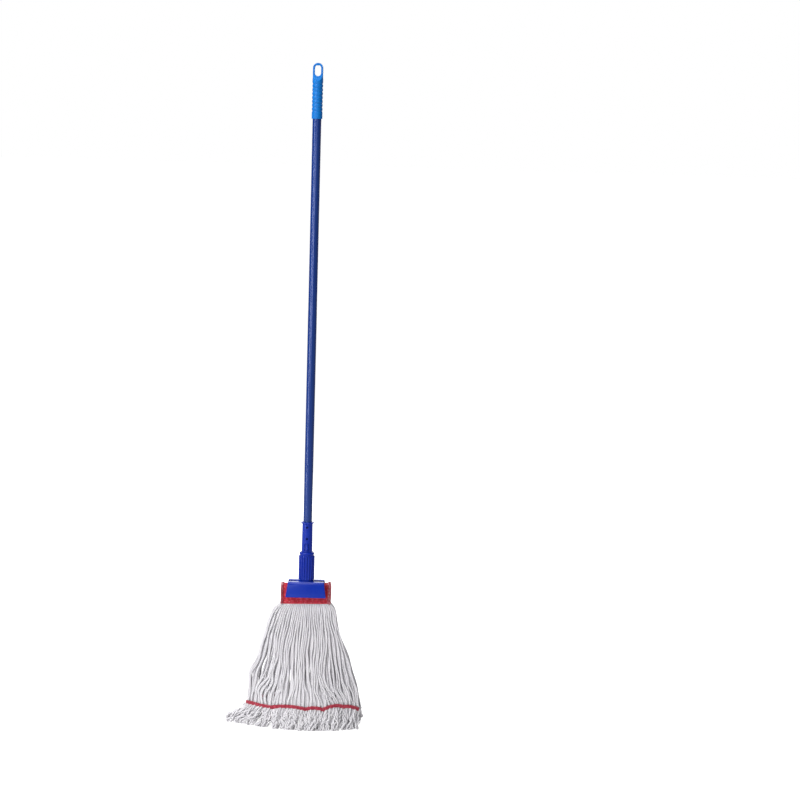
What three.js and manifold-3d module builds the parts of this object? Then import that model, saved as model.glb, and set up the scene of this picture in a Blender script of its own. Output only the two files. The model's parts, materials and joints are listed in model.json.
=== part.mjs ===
// A string mop: a steel handle with a hanging grip, a plastic jaw clamp that a fluted nut
// closes, and a looped-end yarn refill folded over between the two jaws.
// Millimetres, +Z up, the front is -Y. The object is built from the floor up and then moved,
// so that its origin is the seat where a hook bears in the hanging hole.
import * as THREE from "three";
import { mergeVertices } from "three/addons/utils/BufferGeometryUtils.js";
import Module from "manifold-3d";

const wasm = await Module();
wasm.setup();

// ---------------------------------------------------------------- driving dimensions
const GAP = 0.3; // clearance between neighbouring pieces
const SOFT_GAP = 0.5; // clearance between layers of cloth and yarn
const ROUND = 28; // segments of a full turn on the large round pieces
const SMALL_ROUND = 14; // and on pins, screws and knuckles
const FRONT = -1;
const REAR = 1;

const TUBE = { r: 11, wall: 0.8, bottom: 400, length: 1200 };
const TUBE_TOP = TUBE.bottom + TUBE.length;
const PLUG = { bottom: 401, top: 513, r: 9.8 };

const GRIP = {
  bottom: 1518, r: 13.2, loopR: 13, loopCentre: 1641, loopHalfThickness: 6, shoulder: 1603,
  holeR: 7.3, holeLowCentre: 1629.3, seatHalfWidth: 3,
  ridges: 7, ridgePitch: 9.4, ridgeLow: 1536, grooveDepth: 1.3, grooveHeight: 5,
};
const HOOK_SEAT = GRIP.loopCentre + Math.sqrt(GRIP.holeR ** 2 - GRIP.seatHalfWidth ** 2);

const SHELF = 366; // top of the closed jaws
const SOCKET = {
  top: 516, flangeR: 16, flangeHeight: 3.2, topR: 13, lowR: 13.6, low: 432, boreR: TUBE.r + GAP,
};
const SCREW = { heights: [503, 474], headR: 2.7, shankR: 1.5, headY: 12.8, neckY: 11.3 };
const STOP = { low: 446.5, high: 461, lowHalfWidth: 4.5, highHalfWidth: 2.4, rise: 2 };

const THREAD = { pitch: 5, rootR: 13.4, crestR: 15.1, low: 400, high: 417.5, steps: 14 };
const NUT = {
  bottom: SHELF + 2.6, top: 440, coreR: 18.2, ringR: 18.3, ringLow: 434, neckR: 17,
  topBoreR: 14.1, lowBoreR: 16.2, ribs: 18, ribCrestR: 20, ribR: 2.4, ribTop: 431,
};
const WASHER = { outerR: 19, innerR: 15.4, height: 2 };

const PIN = { r: 2, halfLength: 42, headR: 2.9, y: 7, z: 358 };
const KNUCKLE = { r: 4.5, boreR: PIN.r + GAP, innerEnd: 14, outerEnd: 27 };
const CROSSBAR = { halfLength: 41, halfWeb: 2.2, neckR: 10, top: 363 };
const JAW = {
  topHalfWidth: 45, lowHalfWidth: 50.5, shelfY: 20.7, chamfer: 6, plateBottom: 328, flareY: 29.5,
  wall: 2.6, lipY: 9, lipHeight: 3, notchR: 14.8, teeth: 12,
};

const BAND = {
  halfLength: 63.5, bottom: 309, top: 350, earTop: 361, pinch: 8.5, foot: 12, pinchLow: 326,
  earStart: 43.4, earEnd: 46.6, flareStart: 55, endFlare: 3, tape: 1, hem: 8, halfCore: 2.2,
  rows: 16,
};
const CURTAIN = {
  top: 307.5, tail: 47, tape: 10, topThickness: 10, tailThickness: 7,
  twist: THREE.MathUtils.degToRad(-7), sway: -6, columns: 14, rows: 8,
};
const FRINGE = {
  flareLeft: 48, flareRight: 2, flareOut: 26, endOut: 14, thickness: 11, columns: 18, rows: 4,
};

// ---------------------------------------------------------------- materials
function material(colour, roughness, metalness = 0) {
  return new THREE.MeshStandardMaterial({ color: colour, roughness, metalness });
}
const PAINTED_STEEL = material(0x1b3b86, 0.3, 0.2);
const CLAMP_BLUE = material(0x1c2f9e, 0.38);
const GRIP_BLUE = material(0x1272cc, 0.45);
const ZINC = material(0x9a9ca0, 0.35, 1);
const RED_MESH = material(0xb0263c, 0.7);
const WHITE_YARN = material(0xdddbe0, 0.95);
const NYLON = material(0xd8dbe2, 0.5);

// ---------------------------------------------------------------- solids from three.js shapes
const X_AXIS = new THREE.Vector3(1, 0, 0);
const Y_AXIS = new THREE.Vector3(0, 1, 0);
const Z_AXIS = new THREE.Vector3(0, 0, 1);

function manifoldOf(positions, corners) {
  const triVerts = new Uint32Array(corners);
  return new wasm.Manifold(new wasm.Mesh({ numProp: 3, vertProperties: positions, triVerts }));
}

// A closed geometry as a manifold solid, with shared vertices merged and poles cleaned.
function solid(geometry) {
  const bare = new THREE.BufferGeometry();
  bare.setAttribute("position", geometry.getAttribute("position"));
  bare.setIndex(geometry.index);
  const merged = mergeVertices(bare, 1e-4);
  const positions = merged.attributes.position.array;
  const corners = [...merged.index.array];
  const kept = [];
  for (let i = 0; i < corners.length; i += 3) {
    const [a, b, c] = corners.slice(i, i + 3);
    if (a !== b && b !== c && c !== a) kept.push(a, b, c);
  }
  const made = manifoldOf(positions, kept);
  return made.volume() > 0 ? made : manifoldOf(positions, kept.reverse());
}

function indexedSolid(positions, corners) {
  const geometry = new THREE.BufferGeometry();
  geometry.setAttribute("position", new THREE.Float32BufferAttribute(positions, 3));
  geometry.setIndex(corners);
  return solid(geometry);
}

function geometryOf(shape) {
  const { vertProperties, triVerts } = shape.getMesh();
  const geometry = new THREE.BufferGeometry();
  geometry.setAttribute("position", new THREE.BufferAttribute(vertProperties, 3));
  geometry.setIndex(new THREE.BufferAttribute(triVerts, 1));
  geometry.computeVertexNormals();
  return geometry;
}

function joined(first, ...others) {
  return others.reduce((whole, part) => whole.add(part), first);
}

function cut(first, ...others) {
  return others.reduce((whole, part) => whole.subtract(part), first);
}

// A solid turned about Z from a closed or axis-to-axis profile of [radius, height] points.
function turned(profile, segments = ROUND) {
  const points = profile.map(([r, z]) => new THREE.Vector2(r, z));
  return solid(new THREE.LatheGeometry(points, segments).rotateX(Math.PI / 2));
}

function ring(outerR, innerR, low, high) {
  return turned([[innerR, low], [outerR, low], [outerR, high], [innerR, high], [innerR, low]]);
}

function disc(r, low, high) {
  return turned([[0, low], [r, low], [r, high], [0, high]]);
}

function rodX(r, x0, x1, y, z) {
  const geometry = new THREE.CylinderGeometry(r, r, x1 - x0, SMALL_ROUND);
  return solid(geometry.rotateZ(Math.PI / 2).translate((x0 + x1) / 2, y, z));
}

// A round solid along Y, its radius going from rFront at the lower y to rBack at the upper.
function coneY(rFront, rBack, y0, y1, z) {
  const geometry = new THREE.CylinderGeometry(rBack, rFront, y1 - y0, SMALL_ROUND);
  return solid(geometry.translate(0, (y0 + y1) / 2, z));
}

function box(x0, x1, y0, y1, z0, z1) {
  const geometry = new THREE.BoxGeometry(x1 - x0, y1 - y0, z1 - z0);
  return solid(geometry.translate((x0 + x1) / 2, (y0 + y1) / 2, (z0 + z1) / 2));
}

function outline(points) {
  return new THREE.Shape(points.map(([a, b]) => new THREE.Vector2(a, b)));
}

// A prism along X from an outline of [y, z] points.
function prismX(points, x0, x1) {
  const geometry = new THREE.ExtrudeGeometry(outline(points), {
    depth: x1 - x0, bevelEnabled: false,
  });
  const turn = new THREE.Matrix4().makeBasis(Y_AXIS, Z_AXIS, X_AXIS);
  return solid(geometry.applyMatrix4(turn).translate(x0, 0, 0));
}

// A prism along Y from a shape drawn in x and z.
function prismY(shape, y0, y1) {
  const geometry = new THREE.ExtrudeGeometry(shape, {
    depth: y1 - y0, bevelEnabled: false, curveSegments: 7,
  });
  const turn = new THREE.Matrix4().makeBasis(X_AXIS, Z_AXIS, Y_AXIS.clone().negate());
  return solid(geometry.applyMatrix4(turn).translate(0, y1, 0));
}

// The two triangles of a four-cornered face.
const faceOf = (a, b, c, d) => [a, b, c, a, c, d];

// A closed thick sheet between two surfaces, each a function of u and v from 0 to 1.
function thickSheet(outer, inner, columns, rows) {
  const positions = [];
  for (const surface of [outer, inner])
    for (let j = 0; j <= rows; j++)
      for (let i = 0; i <= columns; i++) positions.push(...surface(i / columns, j / rows));
  const across = columns + 1;
  const layer = across * (rows + 1);
  const at = (i, j, side) => side * layer + j * across + i;
  const corners = [];
  for (let j = 0; j < rows; j++)
    for (let i = 0; i < columns; i++)
      corners.push(
        ...faceOf(at(i, j, 0), at(i + 1, j, 0), at(i + 1, j + 1, 0), at(i, j + 1, 0)),
        ...faceOf(at(i, j, 1), at(i, j + 1, 1), at(i + 1, j + 1, 1), at(i + 1, j, 1)),
      );
  for (let i = 0; i < columns; i++)
    corners.push(
      ...faceOf(at(i, 0, 0), at(i, 0, 1), at(i + 1, 0, 1), at(i + 1, 0, 0)),
      ...faceOf(at(i, rows, 0), at(i + 1, rows, 0), at(i + 1, rows, 1), at(i, rows, 1)),
    );
  for (let j = 0; j < rows; j++)
    corners.push(
      ...faceOf(at(0, j, 0), at(0, j + 1, 0), at(0, j + 1, 1), at(0, j, 1)),
      ...faceOf(at(columns, j, 0), at(columns, j, 1), at(columns, j + 1, 1), at(columns, j + 1, 0)),
    );
  return indexedSolid(positions, corners);
}

// A trapezoid ridge wound round Z, with its half widths where it starts and at its crest.
function helix({ baseR, crestR, base, crest, low, high }) {
  const steps = Math.round(((high - low) / THREAD.pitch) * THREAD.steps);
  const positions = [];
  for (let i = 0; i <= steps; i++) {
    const turns = i / THREAD.steps;
    const angle = turns * 2 * Math.PI;
    const z = low + turns * THREAD.pitch;
    for (const [r, dz] of [[baseR, -base], [crestR, -crest], [crestR, crest], [baseR, base]])
      positions.push(r * Math.cos(angle), r * Math.sin(angle), z + dz);
  }
  const corners = [...faceOf(3, 2, 1, 0), ...faceOf(0, 1, 2, 3).map((k) => 4 * steps + k)];
  for (let i = 0; i < 4 * steps; i += 4)
    for (let k = 0; k < 4; k++) {
      const next = (k + 1) % 4;
      corners.push(...faceOf(i + k, i + next, i + 4 + next, i + 4 + k));
    }
  return indexedSolid(positions, corners);
}

// ---------------------------------------------------------------- handle
function gripBarrel() {
  const { r, bottom, ridgeLow, ridgePitch, ridges, grooveDepth, grooveHeight } = GRIP;
  const profile = [[0, bottom], [r - 0.8, bottom], [r, bottom + 0.8]];
  for (let i = 0; i <= ridges; i++) {
    const low = ridgeLow + i * ridgePitch - grooveHeight / 2;
    const middle = low + grooveHeight / 2;
    profile.push([r, low], [r - grooveDepth, middle], [r, low + grooveHeight]);
  }
  const top = GRIP.loopCentre + GRIP.loopR;
  return turned([...profile, [r, top], [0, top]]);
}

function gripFrontOutline() {
  const { r, bottom, shoulder, loopR, loopCentre } = GRIP;
  const shape = outline([[-r - 1, bottom], [r + 1, bottom], [r + 1, shoulder]]);
  shape.lineTo(loopR, shoulder + 15).lineTo(loopR, loopCentre);
  shape.absarc(0, loopCentre, loopR, 0, Math.PI);
  return shape.lineTo(-loopR, shoulder + 15).lineTo(-r - 1, shoulder);
}

function gripSideOutline() {
  const { r, bottom, shoulder, loopHalfThickness: half } = GRIP;
  const top = GRIP.loopCentre + GRIP.loopR + 1;
  return [
    [-r - 1, bottom], [r + 1, bottom], [r + 1, shoulder], [half, shoulder + 21], [half, top],
    [-half, top], [-half, shoulder + 21], [-r - 1, shoulder],
  ];
}

// A slot with round ends, its top flattened into a seat for a hook.
function hangingHole() {
  const { holeR, holeLowCentre, loopCentre, seatHalfWidth } = GRIP;
  const seatAngle = Math.acos(seatHalfWidth / holeR);
  const shape = new THREE.Shape();
  shape.absarc(0, loopCentre, holeR, 0, seatAngle);
  shape.absarc(0, loopCentre, holeR, Math.PI - seatAngle, Math.PI);
  return shape.absarc(0, holeLowCentre, holeR, Math.PI, 2 * Math.PI);
}

function hangingGrip() {
  const far = GRIP.r + 5;
  return cut(
    gripBarrel()
      .intersect(prismY(gripFrontOutline(), -far, far))
      .intersect(prismX(gripSideOutline(), -far, far)),
    prismY(hangingHole(), -far, far),
    disc(TUBE.r + GAP, GRIP.bottom - 1, TUBE_TOP + 1),
  );
}

const screwBores = (y0, y1) =>
  SCREW.heights.map((z) => coneY(SCREW.shankR + GAP, SCREW.shankR + GAP, y0, y1, z));

function handleTube() {
  const wall = ring(TUBE.r, TUBE.r - TUBE.wall, TUBE.bottom, TUBE_TOP);
  return cut(wall, ...screwBores(-TUBE.r - 1, -TUBE.r + 2));
}

function tubeEndPlug() {
  const { bottom, top, r } = PLUG;
  const body = turned([
    [0, bottom], [r - 1, bottom], [r, bottom + 1], [r, top - 1], [r - 1, top], [0, top],
  ]);
  return cut(body, ...screwBores(-r - 1, 0.8));
}

// A countersunk screw along -Y with a cross recess in its head.
function socketScrew() {
  const { headR, shankR, headY, neckY } = SCREW;
  const body = turned([
    [0, 0], [0.3, 0], [shankR, 2.5], [shankR, neckY], [headR, headY - 0.3], [headR, headY],
    [0, headY],
  ], SMALL_ROUND);
  const low = headY - 1;
  const recess = joined(
    box(-1.6, 1.6, -0.3, 0.3, low, headY + 1), box(-0.3, 0.3, -1.6, 1.6, low, headY + 1),
  );
  return cut(body, recess).rotate([90, 0, 0]);
}

// ---------------------------------------------------------------- clamp
function socketOutside() {
  const { top, flangeR, flangeHeight, topR, lowR, low } = SOCKET;
  const bottom = CROSSBAR.top - 3;
  const neck = CROSSBAR.neckR;
  return turned([
    [0, bottom], [neck, bottom], [neck, 381], [THREAD.rootR, 386], [THREAD.rootR, low - 2],
    [lowR, low], [lowR, low + 10], [topR, top - flangeHeight - 1], [flangeR, top - flangeHeight],
    [flangeR, top - 0.8], [flangeR - 0.8, top], [0, top],
  ]);
}

function maleThread() {
  const { rootR, crestR, low, high } = THREAD;
  return helix({ baseR: rootR - 0.8, crestR, base: 1.5, crest: 0.7, low, high });
}

// The wedge the nut rides over when the clamp is opened, and the pocket it stands in.
function stopWedge() {
  const { low, high, lowHalfWidth, highHalfWidth, rise } = STOP;
  const face = SOCKET.lowR - 0.3;
  const side = [[-face - rise, low], [-face + 2, low], [-face + 2, high], [-face + 0.2, high]];
  const front = outline([
    [-lowHalfWidth, low], [lowHalfWidth, low], [highHalfWidth, high], [-highHalfWidth, high],
  ]);
  return prismX(side, -6, 6).intersect(prismY(front, -20, 0));
}

function stopPocket() {
  const front = outline([
    [-6, STOP.low - 1.6], [6, STOP.low - 1.6], [6, STOP.high + 1], [-6, STOP.high + 1],
  ]);
  return prismY(front, -20, -SOCKET.lowR + 1);
}

function countersink(z) {
  const clear = SCREW.headR + 0.5;
  return joined(
    coneY(clear, SCREW.shankR + GAP, -SCREW.headY + 0.2, -SCREW.neckY + 0.1, z),
    coneY(clear, clear, -20, -SCREW.headY + 0.2, z),
  );
}

function crossbar() {
  const { halfLength, halfWeb, top } = CROSSBAR;
  const { r, innerEnd, outerEnd } = KNUCKLE;
  const spans = [
    [-halfLength, -outerEnd - GAP], [-innerEnd + GAP, innerEnd - GAP],
    [outerEnd + GAP, halfLength],
  ];
  const parts = [];
  for (const y of [-PIN.y, PIN.y])
    for (const [x0, x1] of spans) {
      parts.push(rodX(r, x0, x1, y, PIN.z));
      parts.push(box(x0, x1, Math.min(0, y), Math.max(0, y), PIN.z - 2.2, PIN.z + 2.2));
    }
  return joined(box(-halfLength, halfLength, -halfWeb, halfWeb, PIN.z - r, top), ...parts);
}

function clampBody() {
  const pinBores = [-PIN.y, PIN.y].map((y) => rodX(KNUCKLE.boreR, -50, 50, y, PIN.z));
  return cut(
    joined(cut(joined(socketOutside(), crossbar()), stopPocket()), maleThread(), stopWedge()),
    disc(SOCKET.boreR, TUBE.bottom - 0.6, SOCKET.top + 1),
    ...pinBores,
    ...screwBores(-20, -5),
    ...SCREW.heights.map(countersink),
  );
}

function nutOutside() {
  const { bottom, top, coreR, ringR, ringLow, neckR, ribs, ribCrestR, ribR, ribTop } = NUT;
  const core = turned([
    [0, bottom], [coreR - 0.6, bottom], [coreR, bottom + 0.6], [coreR, ribTop - 1.5],
    [neckR, ribTop], [neckR, ringLow - 0.6], [ringR, ringLow], [ringR, top - 2.6],
    [ringR - 0.8, top - 1], [ringR - 2.6, top], [0, top],
  ], 2 * NUT.ribs);
  const low = bottom + 1 + ribR;
  const length = ribTop - ribR - low;
  const rib = new THREE.CapsuleGeometry(ribR, length, 2, 8).rotateX(Math.PI / 2);
  rib.translate(ribCrestR - ribR, 0, low + length / 2);
  const turns = [...Array(ribs).keys()].map((i) => ((i + 0.5) / ribs) * 2 * Math.PI);
  return joined(core, ...turns.map((angle) => solid(rib.clone().rotateZ(angle))));
}

function clampNut() {
  const { bottom, top, topBoreR, lowBoreR } = NUT;
  const minorR = THREAD.rootR + 0.45;
  const low = THREAD.low - 3;
  const high = THREAD.high + 3;
  const bore = turned([
    [0, bottom - 1], [lowBoreR, bottom - 1], [lowBoreR, low - 2], [minorR, low], [minorR, high],
    [topBoreR, high + 0.5], [topBoreR, top + 1], [0, top + 1],
  ]);
  const groove = helix({
    baseR: THREAD.rootR - 0.4, crestR: THREAD.crestR + 0.6, base: 2.1, crest: 1.3,
    low: THREAD.low - THREAD.pitch, high: THREAD.high + THREAD.pitch,
  }).intersect(disc(NUT.ribCrestR, low - 3, high));
  return cut(nutOutside(), bore, groove);
}

function thrustWasher() {
  const low = SHELF + GAP;
  return ring(WASHER.outerR, WASHER.innerR, low, low + WASHER.height);
}

function jawSkin() {
  const { shelfY, chamfer, plateBottom, flareY, wall, lipY, lipHeight, lowHalfWidth } = JAW;
  const outerY = shelfY + chamfer;
  const lipTop = plateBottom + lipHeight;
  const innerEdge = lipY + 1.6;
  return prismX([
    [-8.5, SHELF], [-shelfY, SHELF], [-outerY, SHELF - chamfer], [-flareY, plateBottom],
    [-innerEdge, plateBottom], [-innerEdge, lipTop], [-flareY + wall, lipTop],
    [-outerY + wall, SHELF - chamfer - 1], [-shelfY + 1, SHELF - wall], [-8.5, SHELF - wall],
  ], -lowHalfWidth, lowHalfWidth);
}

function jawTeeth() {
  const { lowHalfWidth, teeth, plateBottom, lipHeight, lipY } = JAW;
  const pitch = (2 * lowHalfWidth - 4) / teeth;
  return [...Array(teeth).keys()].map((i) => {
    const x = -lowHalfWidth + 2 + i * pitch;
    return box(x + 1, x + pitch - 1, -lipY - 1.8, -lipY, plateBottom, plateBottom + lipHeight);
  });
}

function jawRibs() {
  const { shelfY, chamfer, plateBottom, flareY, lipHeight, lipY } = JAW;
  const outerY = shelfY + chamfer;
  const section = [
    [-12, SHELF - 1], [-shelfY, SHELF - 1], [-outerY + 1, SHELF - chamfer - 0.5],
    [-flareY + 1, plateBottom + 1], [-lipY - 2, plateBottom + 1],
    [-lipY - 2, plateBottom + lipHeight], [-outerY + 6, 343], [-12.2, 354],
  ];
  return [-44.4, -28.8, -1, 26.8, 42.4].map((x) => prismX(section, x, x + 2));
}

function jawKnuckles() {
  return [-1, 1].flatMap((side) => {
    const ends = [side * (KNUCKLE.innerEnd + GAP), side * (KNUCKLE.outerEnd - GAP)];
    const [x0, x1] = ends.sort((a, b) => a - b);
    const strap = box(x0, x1, -13.6, -PIN.y, PIN.z - 1, SHELF - JAW.wall + 0.1);
    return [rodX(KNUCKLE.r, x0, x1, -PIN.y, PIN.z), strap];
  });
}

// What the slanting end of the jaw leaves off, on one side.
function jawEndCut(side) {
  const { topHalfWidth, lowHalfWidth, chamfer, plateBottom } = JAW;
  return prismY(outline([
    [side * topHalfWidth, SHELF + 1], [side * topHalfWidth, SHELF - chamfer],
    [side * lowHalfWidth, plateBottom - 0.1], [side * 60, plateBottom - 0.1],
    [side * 60, SHELF + 1],
  ]), -40, 0);
}

// The front jaw. The rear jaw is the same moulding turned half round.
function jaw() {
  const underShelf = box(-41.5, 41.5, -12.3, 0, 340, SHELF - JAW.wall - 0.01);
  return cut(
    joined(cut(joined(jawSkin(), ...jawTeeth(), ...jawRibs()), underShelf), ...jawKnuckles()),
    disc(JAW.notchR, SHELF - 9, SHELF + 5),
    rodX(KNUCKLE.boreR, -60, 60, -PIN.y, PIN.z),
    jawEndCut(-1),
    jawEndCut(1),
  );
}

function jawPin() {
  const { r, halfLength, headR, y, z } = PIN;
  const head = rodX(headR, -halfLength - 0.9, -halfLength, -y, z);
  return joined(rodX(r, -halfLength - 0.1, halfLength, -y, z), head);
}

// ---------------------------------------------------------------- yarn refill
const smooth = (low, high, x) => THREE.MathUtils.smoothstep(x, low, high);
const mix = THREE.MathUtils.lerp;

// Half the thickness of the folded headband at a place along X and a height.
function bandHalf(x, z) {
  const foot = (BAND.foot - BAND.pinch) * (1 - smooth(BAND.bottom, BAND.pinchLow, z));
  const flare = BAND.endFlare * smooth(BAND.flareStart, BAND.halfLength, Math.abs(x));
  return BAND.pinch + foot + flare;
}

// A point on the folded headband. Along goes from 0 at the foot to 1 at the fold's crest, and
// insetOf gives the distance inwards from the outer face. Ear is 0 where the fold lies under
// the clamp and 1 where it stands up beside it.
const FOLD_SHARE = 3 / 8;
function bandPoint([x, ear], side, along, insetOf) {
  const foldHalf = bandHalf(x, BAND.top);
  const foldLow = mix(BAND.top, BAND.earTop, ear) - foldHalf;
  const wallShare = along / (1 - FOLD_SHARE);
  if (wallShare <= 1) {
    const z = mix(BAND.bottom, foldLow, wallShare);
    return [x, side * (bandHalf(x, z) - insetOf(x, z)), z];
  }
  const angle = ((along - 1 + FOLD_SHARE) / FOLD_SHARE) * (Math.PI / 2);
  const r = foldHalf - insetOf(x, foldLow);
  return [x, side * r * Math.cos(angle), foldLow + r * Math.sin(angle)];
}

// The [x, ear] columns of a layer, its step up to the ears moved outwards by its inset.
function bandColumns(insetOf, halfLength) {
  const shift = insetOf(0, BAND.top);
  const middle = (BAND.earStart + BAND.earEnd) / 2;
  const right = [
    [0, 0], [BAND.earStart + shift, 0], [middle + shift, 0.5], [BAND.earEnd + shift, 1],
    [BAND.flareStart + 2, 1], [halfLength, 1],
  ];
  return [...right.slice(1).reverse().map(([x, ear]) => [-x, ear]), ...right];
}

function bandSheet(outerInset, innerInset, columnsOf) {
  const surface = (insetOf) => {
    const columns = columnsOf(insetOf);
    return (u, v) => {
      const column = columns[Math.round(u * (columns.length - 1))];
      return bandPoint(column, v < 0.5 ? FRONT : REAR, 1 - Math.abs(2 * v - 1), insetOf);
    };
  };
  const count = columnsOf(outerInset).length - 1;
  return thickSheet(surface(outerInset), surface(innerInset), count, BAND.rows);
}

const inset = (distance) => () => distance;
const insetToHalf = (half) => (x, z) => bandHalf(x, z) - half;

function headbandOuter() {
  const columns = (insetOf) => bandColumns(insetOf, BAND.halfLength);
  return bandSheet(inset(0), inset(BAND.tape), columns);
}

function headbandYarn() {
  const columns = (insetOf) => bandColumns(insetOf, BAND.halfLength - 1);
  return bandSheet(inset(BAND.tape + SOFT_GAP), insetToHalf(BAND.halfCore), columns);
}

function headbandInner() {
  const outerHalf = BAND.halfCore - SOFT_GAP;
  const columns = (insetOf) => bandColumns(insetOf, BAND.halfLength);
  return bandSheet(insetToHalf(outerHalf), insetToHalf(outerHalf - BAND.tape), columns);
}

function headbandHem() {
  const columns = () => [[BAND.halfLength - BAND.hem, 1], [BAND.halfLength, 1]];
  return bandSheet(inset(-SOFT_GAP - BAND.tape), inset(-SOFT_GAP), columns);
}

const bezier = (a, b, c, d) => (t) =>
  a * (1 - t) ** 3 + 3 * b * t * (1 - t) ** 2 + 3 * c * t ** 2 * (1 - t) + d * t ** 3;
const curtainHalfWidth = bezier(67, 88, 136, 142);
const curtainMiddle = bezier(6.8, 13, 38, 55);
const curtainEnd = bezier(6.8, 7.5, 9, 10);

// A point on the yarn: u runs left to right from -1 to 1, t from the headband at 0 to the tail
// band at 1 and on to the floor at 2, and out is the distance outwards from the middle surface.
function yarnPoint(side, u, t, out) {
  const s = Math.min(t, 1);
  const f = Math.max(t - 1, 0);
  const flare = u < 0 ? FRINGE.flareLeft : FRINGE.flareRight;
  const sway = CURTAIN.sway * 4 * s * (1 - s);
  const x = sway + u * (curtainHalfWidth(s) + flare * f ** 1.4 * Math.abs(u));
  const end = curtainEnd(s) + FRINGE.endOut * f;
  const middle = curtainMiddle(s) + FRINGE.flareOut * f;
  const setback = mix(end, middle, (1 - u * u) ** 0.8);
  const place = new THREE.Vector2(x + (out * smooth(0, 1, s) * u) / 2, side * (setback + out));
  place.rotateAround(new THREE.Vector2(), CURTAIN.twist * s);
  return [place.x, place.y, mix(CURTAIN.top, CURTAIN.tail, s) - CURTAIN.tail * f];
}

const TAPE_START = 1 - CURTAIN.tape / (CURTAIN.top - CURTAIN.tail);
const curtainHalf = (t) => mix(CURTAIN.topThickness, CURTAIN.tailThickness, t) / 2;

function curtain(side) {
  const { columns, rows } = CURTAIN;
  const surface = (face) => (u, v) => {
    const row = Math.round(v * rows);
    const t = row === rows ? 1 : (TAPE_START * row) / (rows - 1);
    return yarnPoint(side, 2 * u - 1, t, face * curtainHalf(t));
  };
  return thickSheet(surface(1), surface(-1), columns, rows);
}

function fringe(side) {
  const start = 1 + GAP / CURTAIN.tail;
  const surface = (face) => (u, v) => {
    const thickness = mix(CURTAIN.tailThickness, FRINGE.thickness, v);
    return yarnPoint(side, 2 * u - 1, mix(start, 2, v), (face * thickness) / 2);
  };
  return thickSheet(surface(1), surface(-1), FRINGE.columns, FRINGE.rows);
}

// The tape sewn across the curtain above the fringe, on its outer (1) or inner (-1) face.
function tailTape(side, face) {
  const surface = (lift) => (u, v) => {
    const t = mix(TAPE_START, 1, 0.02 + 0.96 * v);
    return yarnPoint(side, 2 * u - 1, t, face * (curtainHalf(t) + lift));
  };
  return thickSheet(surface(SOFT_GAP), surface(SOFT_GAP + BAND.tape), CURTAIN.columns, 1);
}

// ---------------------------------------------------------------- assembly
const mop = new THREE.Group();
const standing = new THREE.Group();
standing.position.z = -HOOK_SEAT;
mop.add(standing);

function group() {
  const made = new THREE.Group();
  standing.add(made);
  return made;
}

function place(name, shape, look, parent, turnAboutZ = 0) {
  const mesh = new THREE.Mesh(geometryOf(shape), look);
  mesh.name = name;
  mesh.rotation.z = turnAboutZ;
  parent.add(mesh);
  return mesh;
}

const handle = group();
place("hanging_grip", hangingGrip(), GRIP_BLUE, handle);
place("handle_tube", handleTube(), PAINTED_STEEL, handle);
place("tube_end_plug", tubeEndPlug(), NYLON, handle);
place("socket_screw_upper", socketScrew(), ZINC, handle).position.z = SCREW.heights[0];
place("socket_screw_lower", socketScrew(), ZINC, handle).position.z = SCREW.heights[1];

const clamp = group();
place("clamp_body", clampBody(), CLAMP_BLUE, clamp);
place("clamp_nut", clampNut(), CLAMP_BLUE, clamp);
place("thrust_washer", thrustWasher(), CLAMP_BLUE, clamp);
place("front_jaw", jaw(), CLAMP_BLUE, clamp);
place("rear_jaw", jaw(), CLAMP_BLUE, clamp, Math.PI);
place("front_jaw_pin", jawPin(), ZINC, clamp);
place("rear_jaw_pin", jawPin(), ZINC, clamp, Math.PI);

const refill = group();
place("headband_outer", headbandOuter(), RED_MESH, refill);
place("headband_yarn", headbandYarn(), WHITE_YARN, refill);
place("headband_inner", headbandInner(), RED_MESH, refill);
place("headband_hem_right", headbandHem(), RED_MESH, refill);
place("headband_hem_left", headbandHem(), RED_MESH, refill, Math.PI);
for (const [name, side] of [["front", FRONT], ["rear", REAR]]) {
  place(`${name}_curtain`, curtain(side), WHITE_YARN, refill);
  place(`${name}_fringe`, fringe(side), WHITE_YARN, refill);
  place(`${name}_tail_tape_outer`, tailTape(side, 1), RED_MESH, refill);
  place(`${name}_tail_tape_inner`, tailTape(side, -1), RED_MESH, refill);
}

export default mop;
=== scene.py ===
import json
from math import ceil
from types import SimpleNamespace as Sizes

import bpy
import numpy as np
from mathutils import Matrix, Vector
from numpy import (arange, array, clip, concatenate, cos, cross, exp, gradient, linspace, maximum,
                   minimum, pi, radians, sin, sqrt, stack, where)
from numpy.linalg import norm


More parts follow.
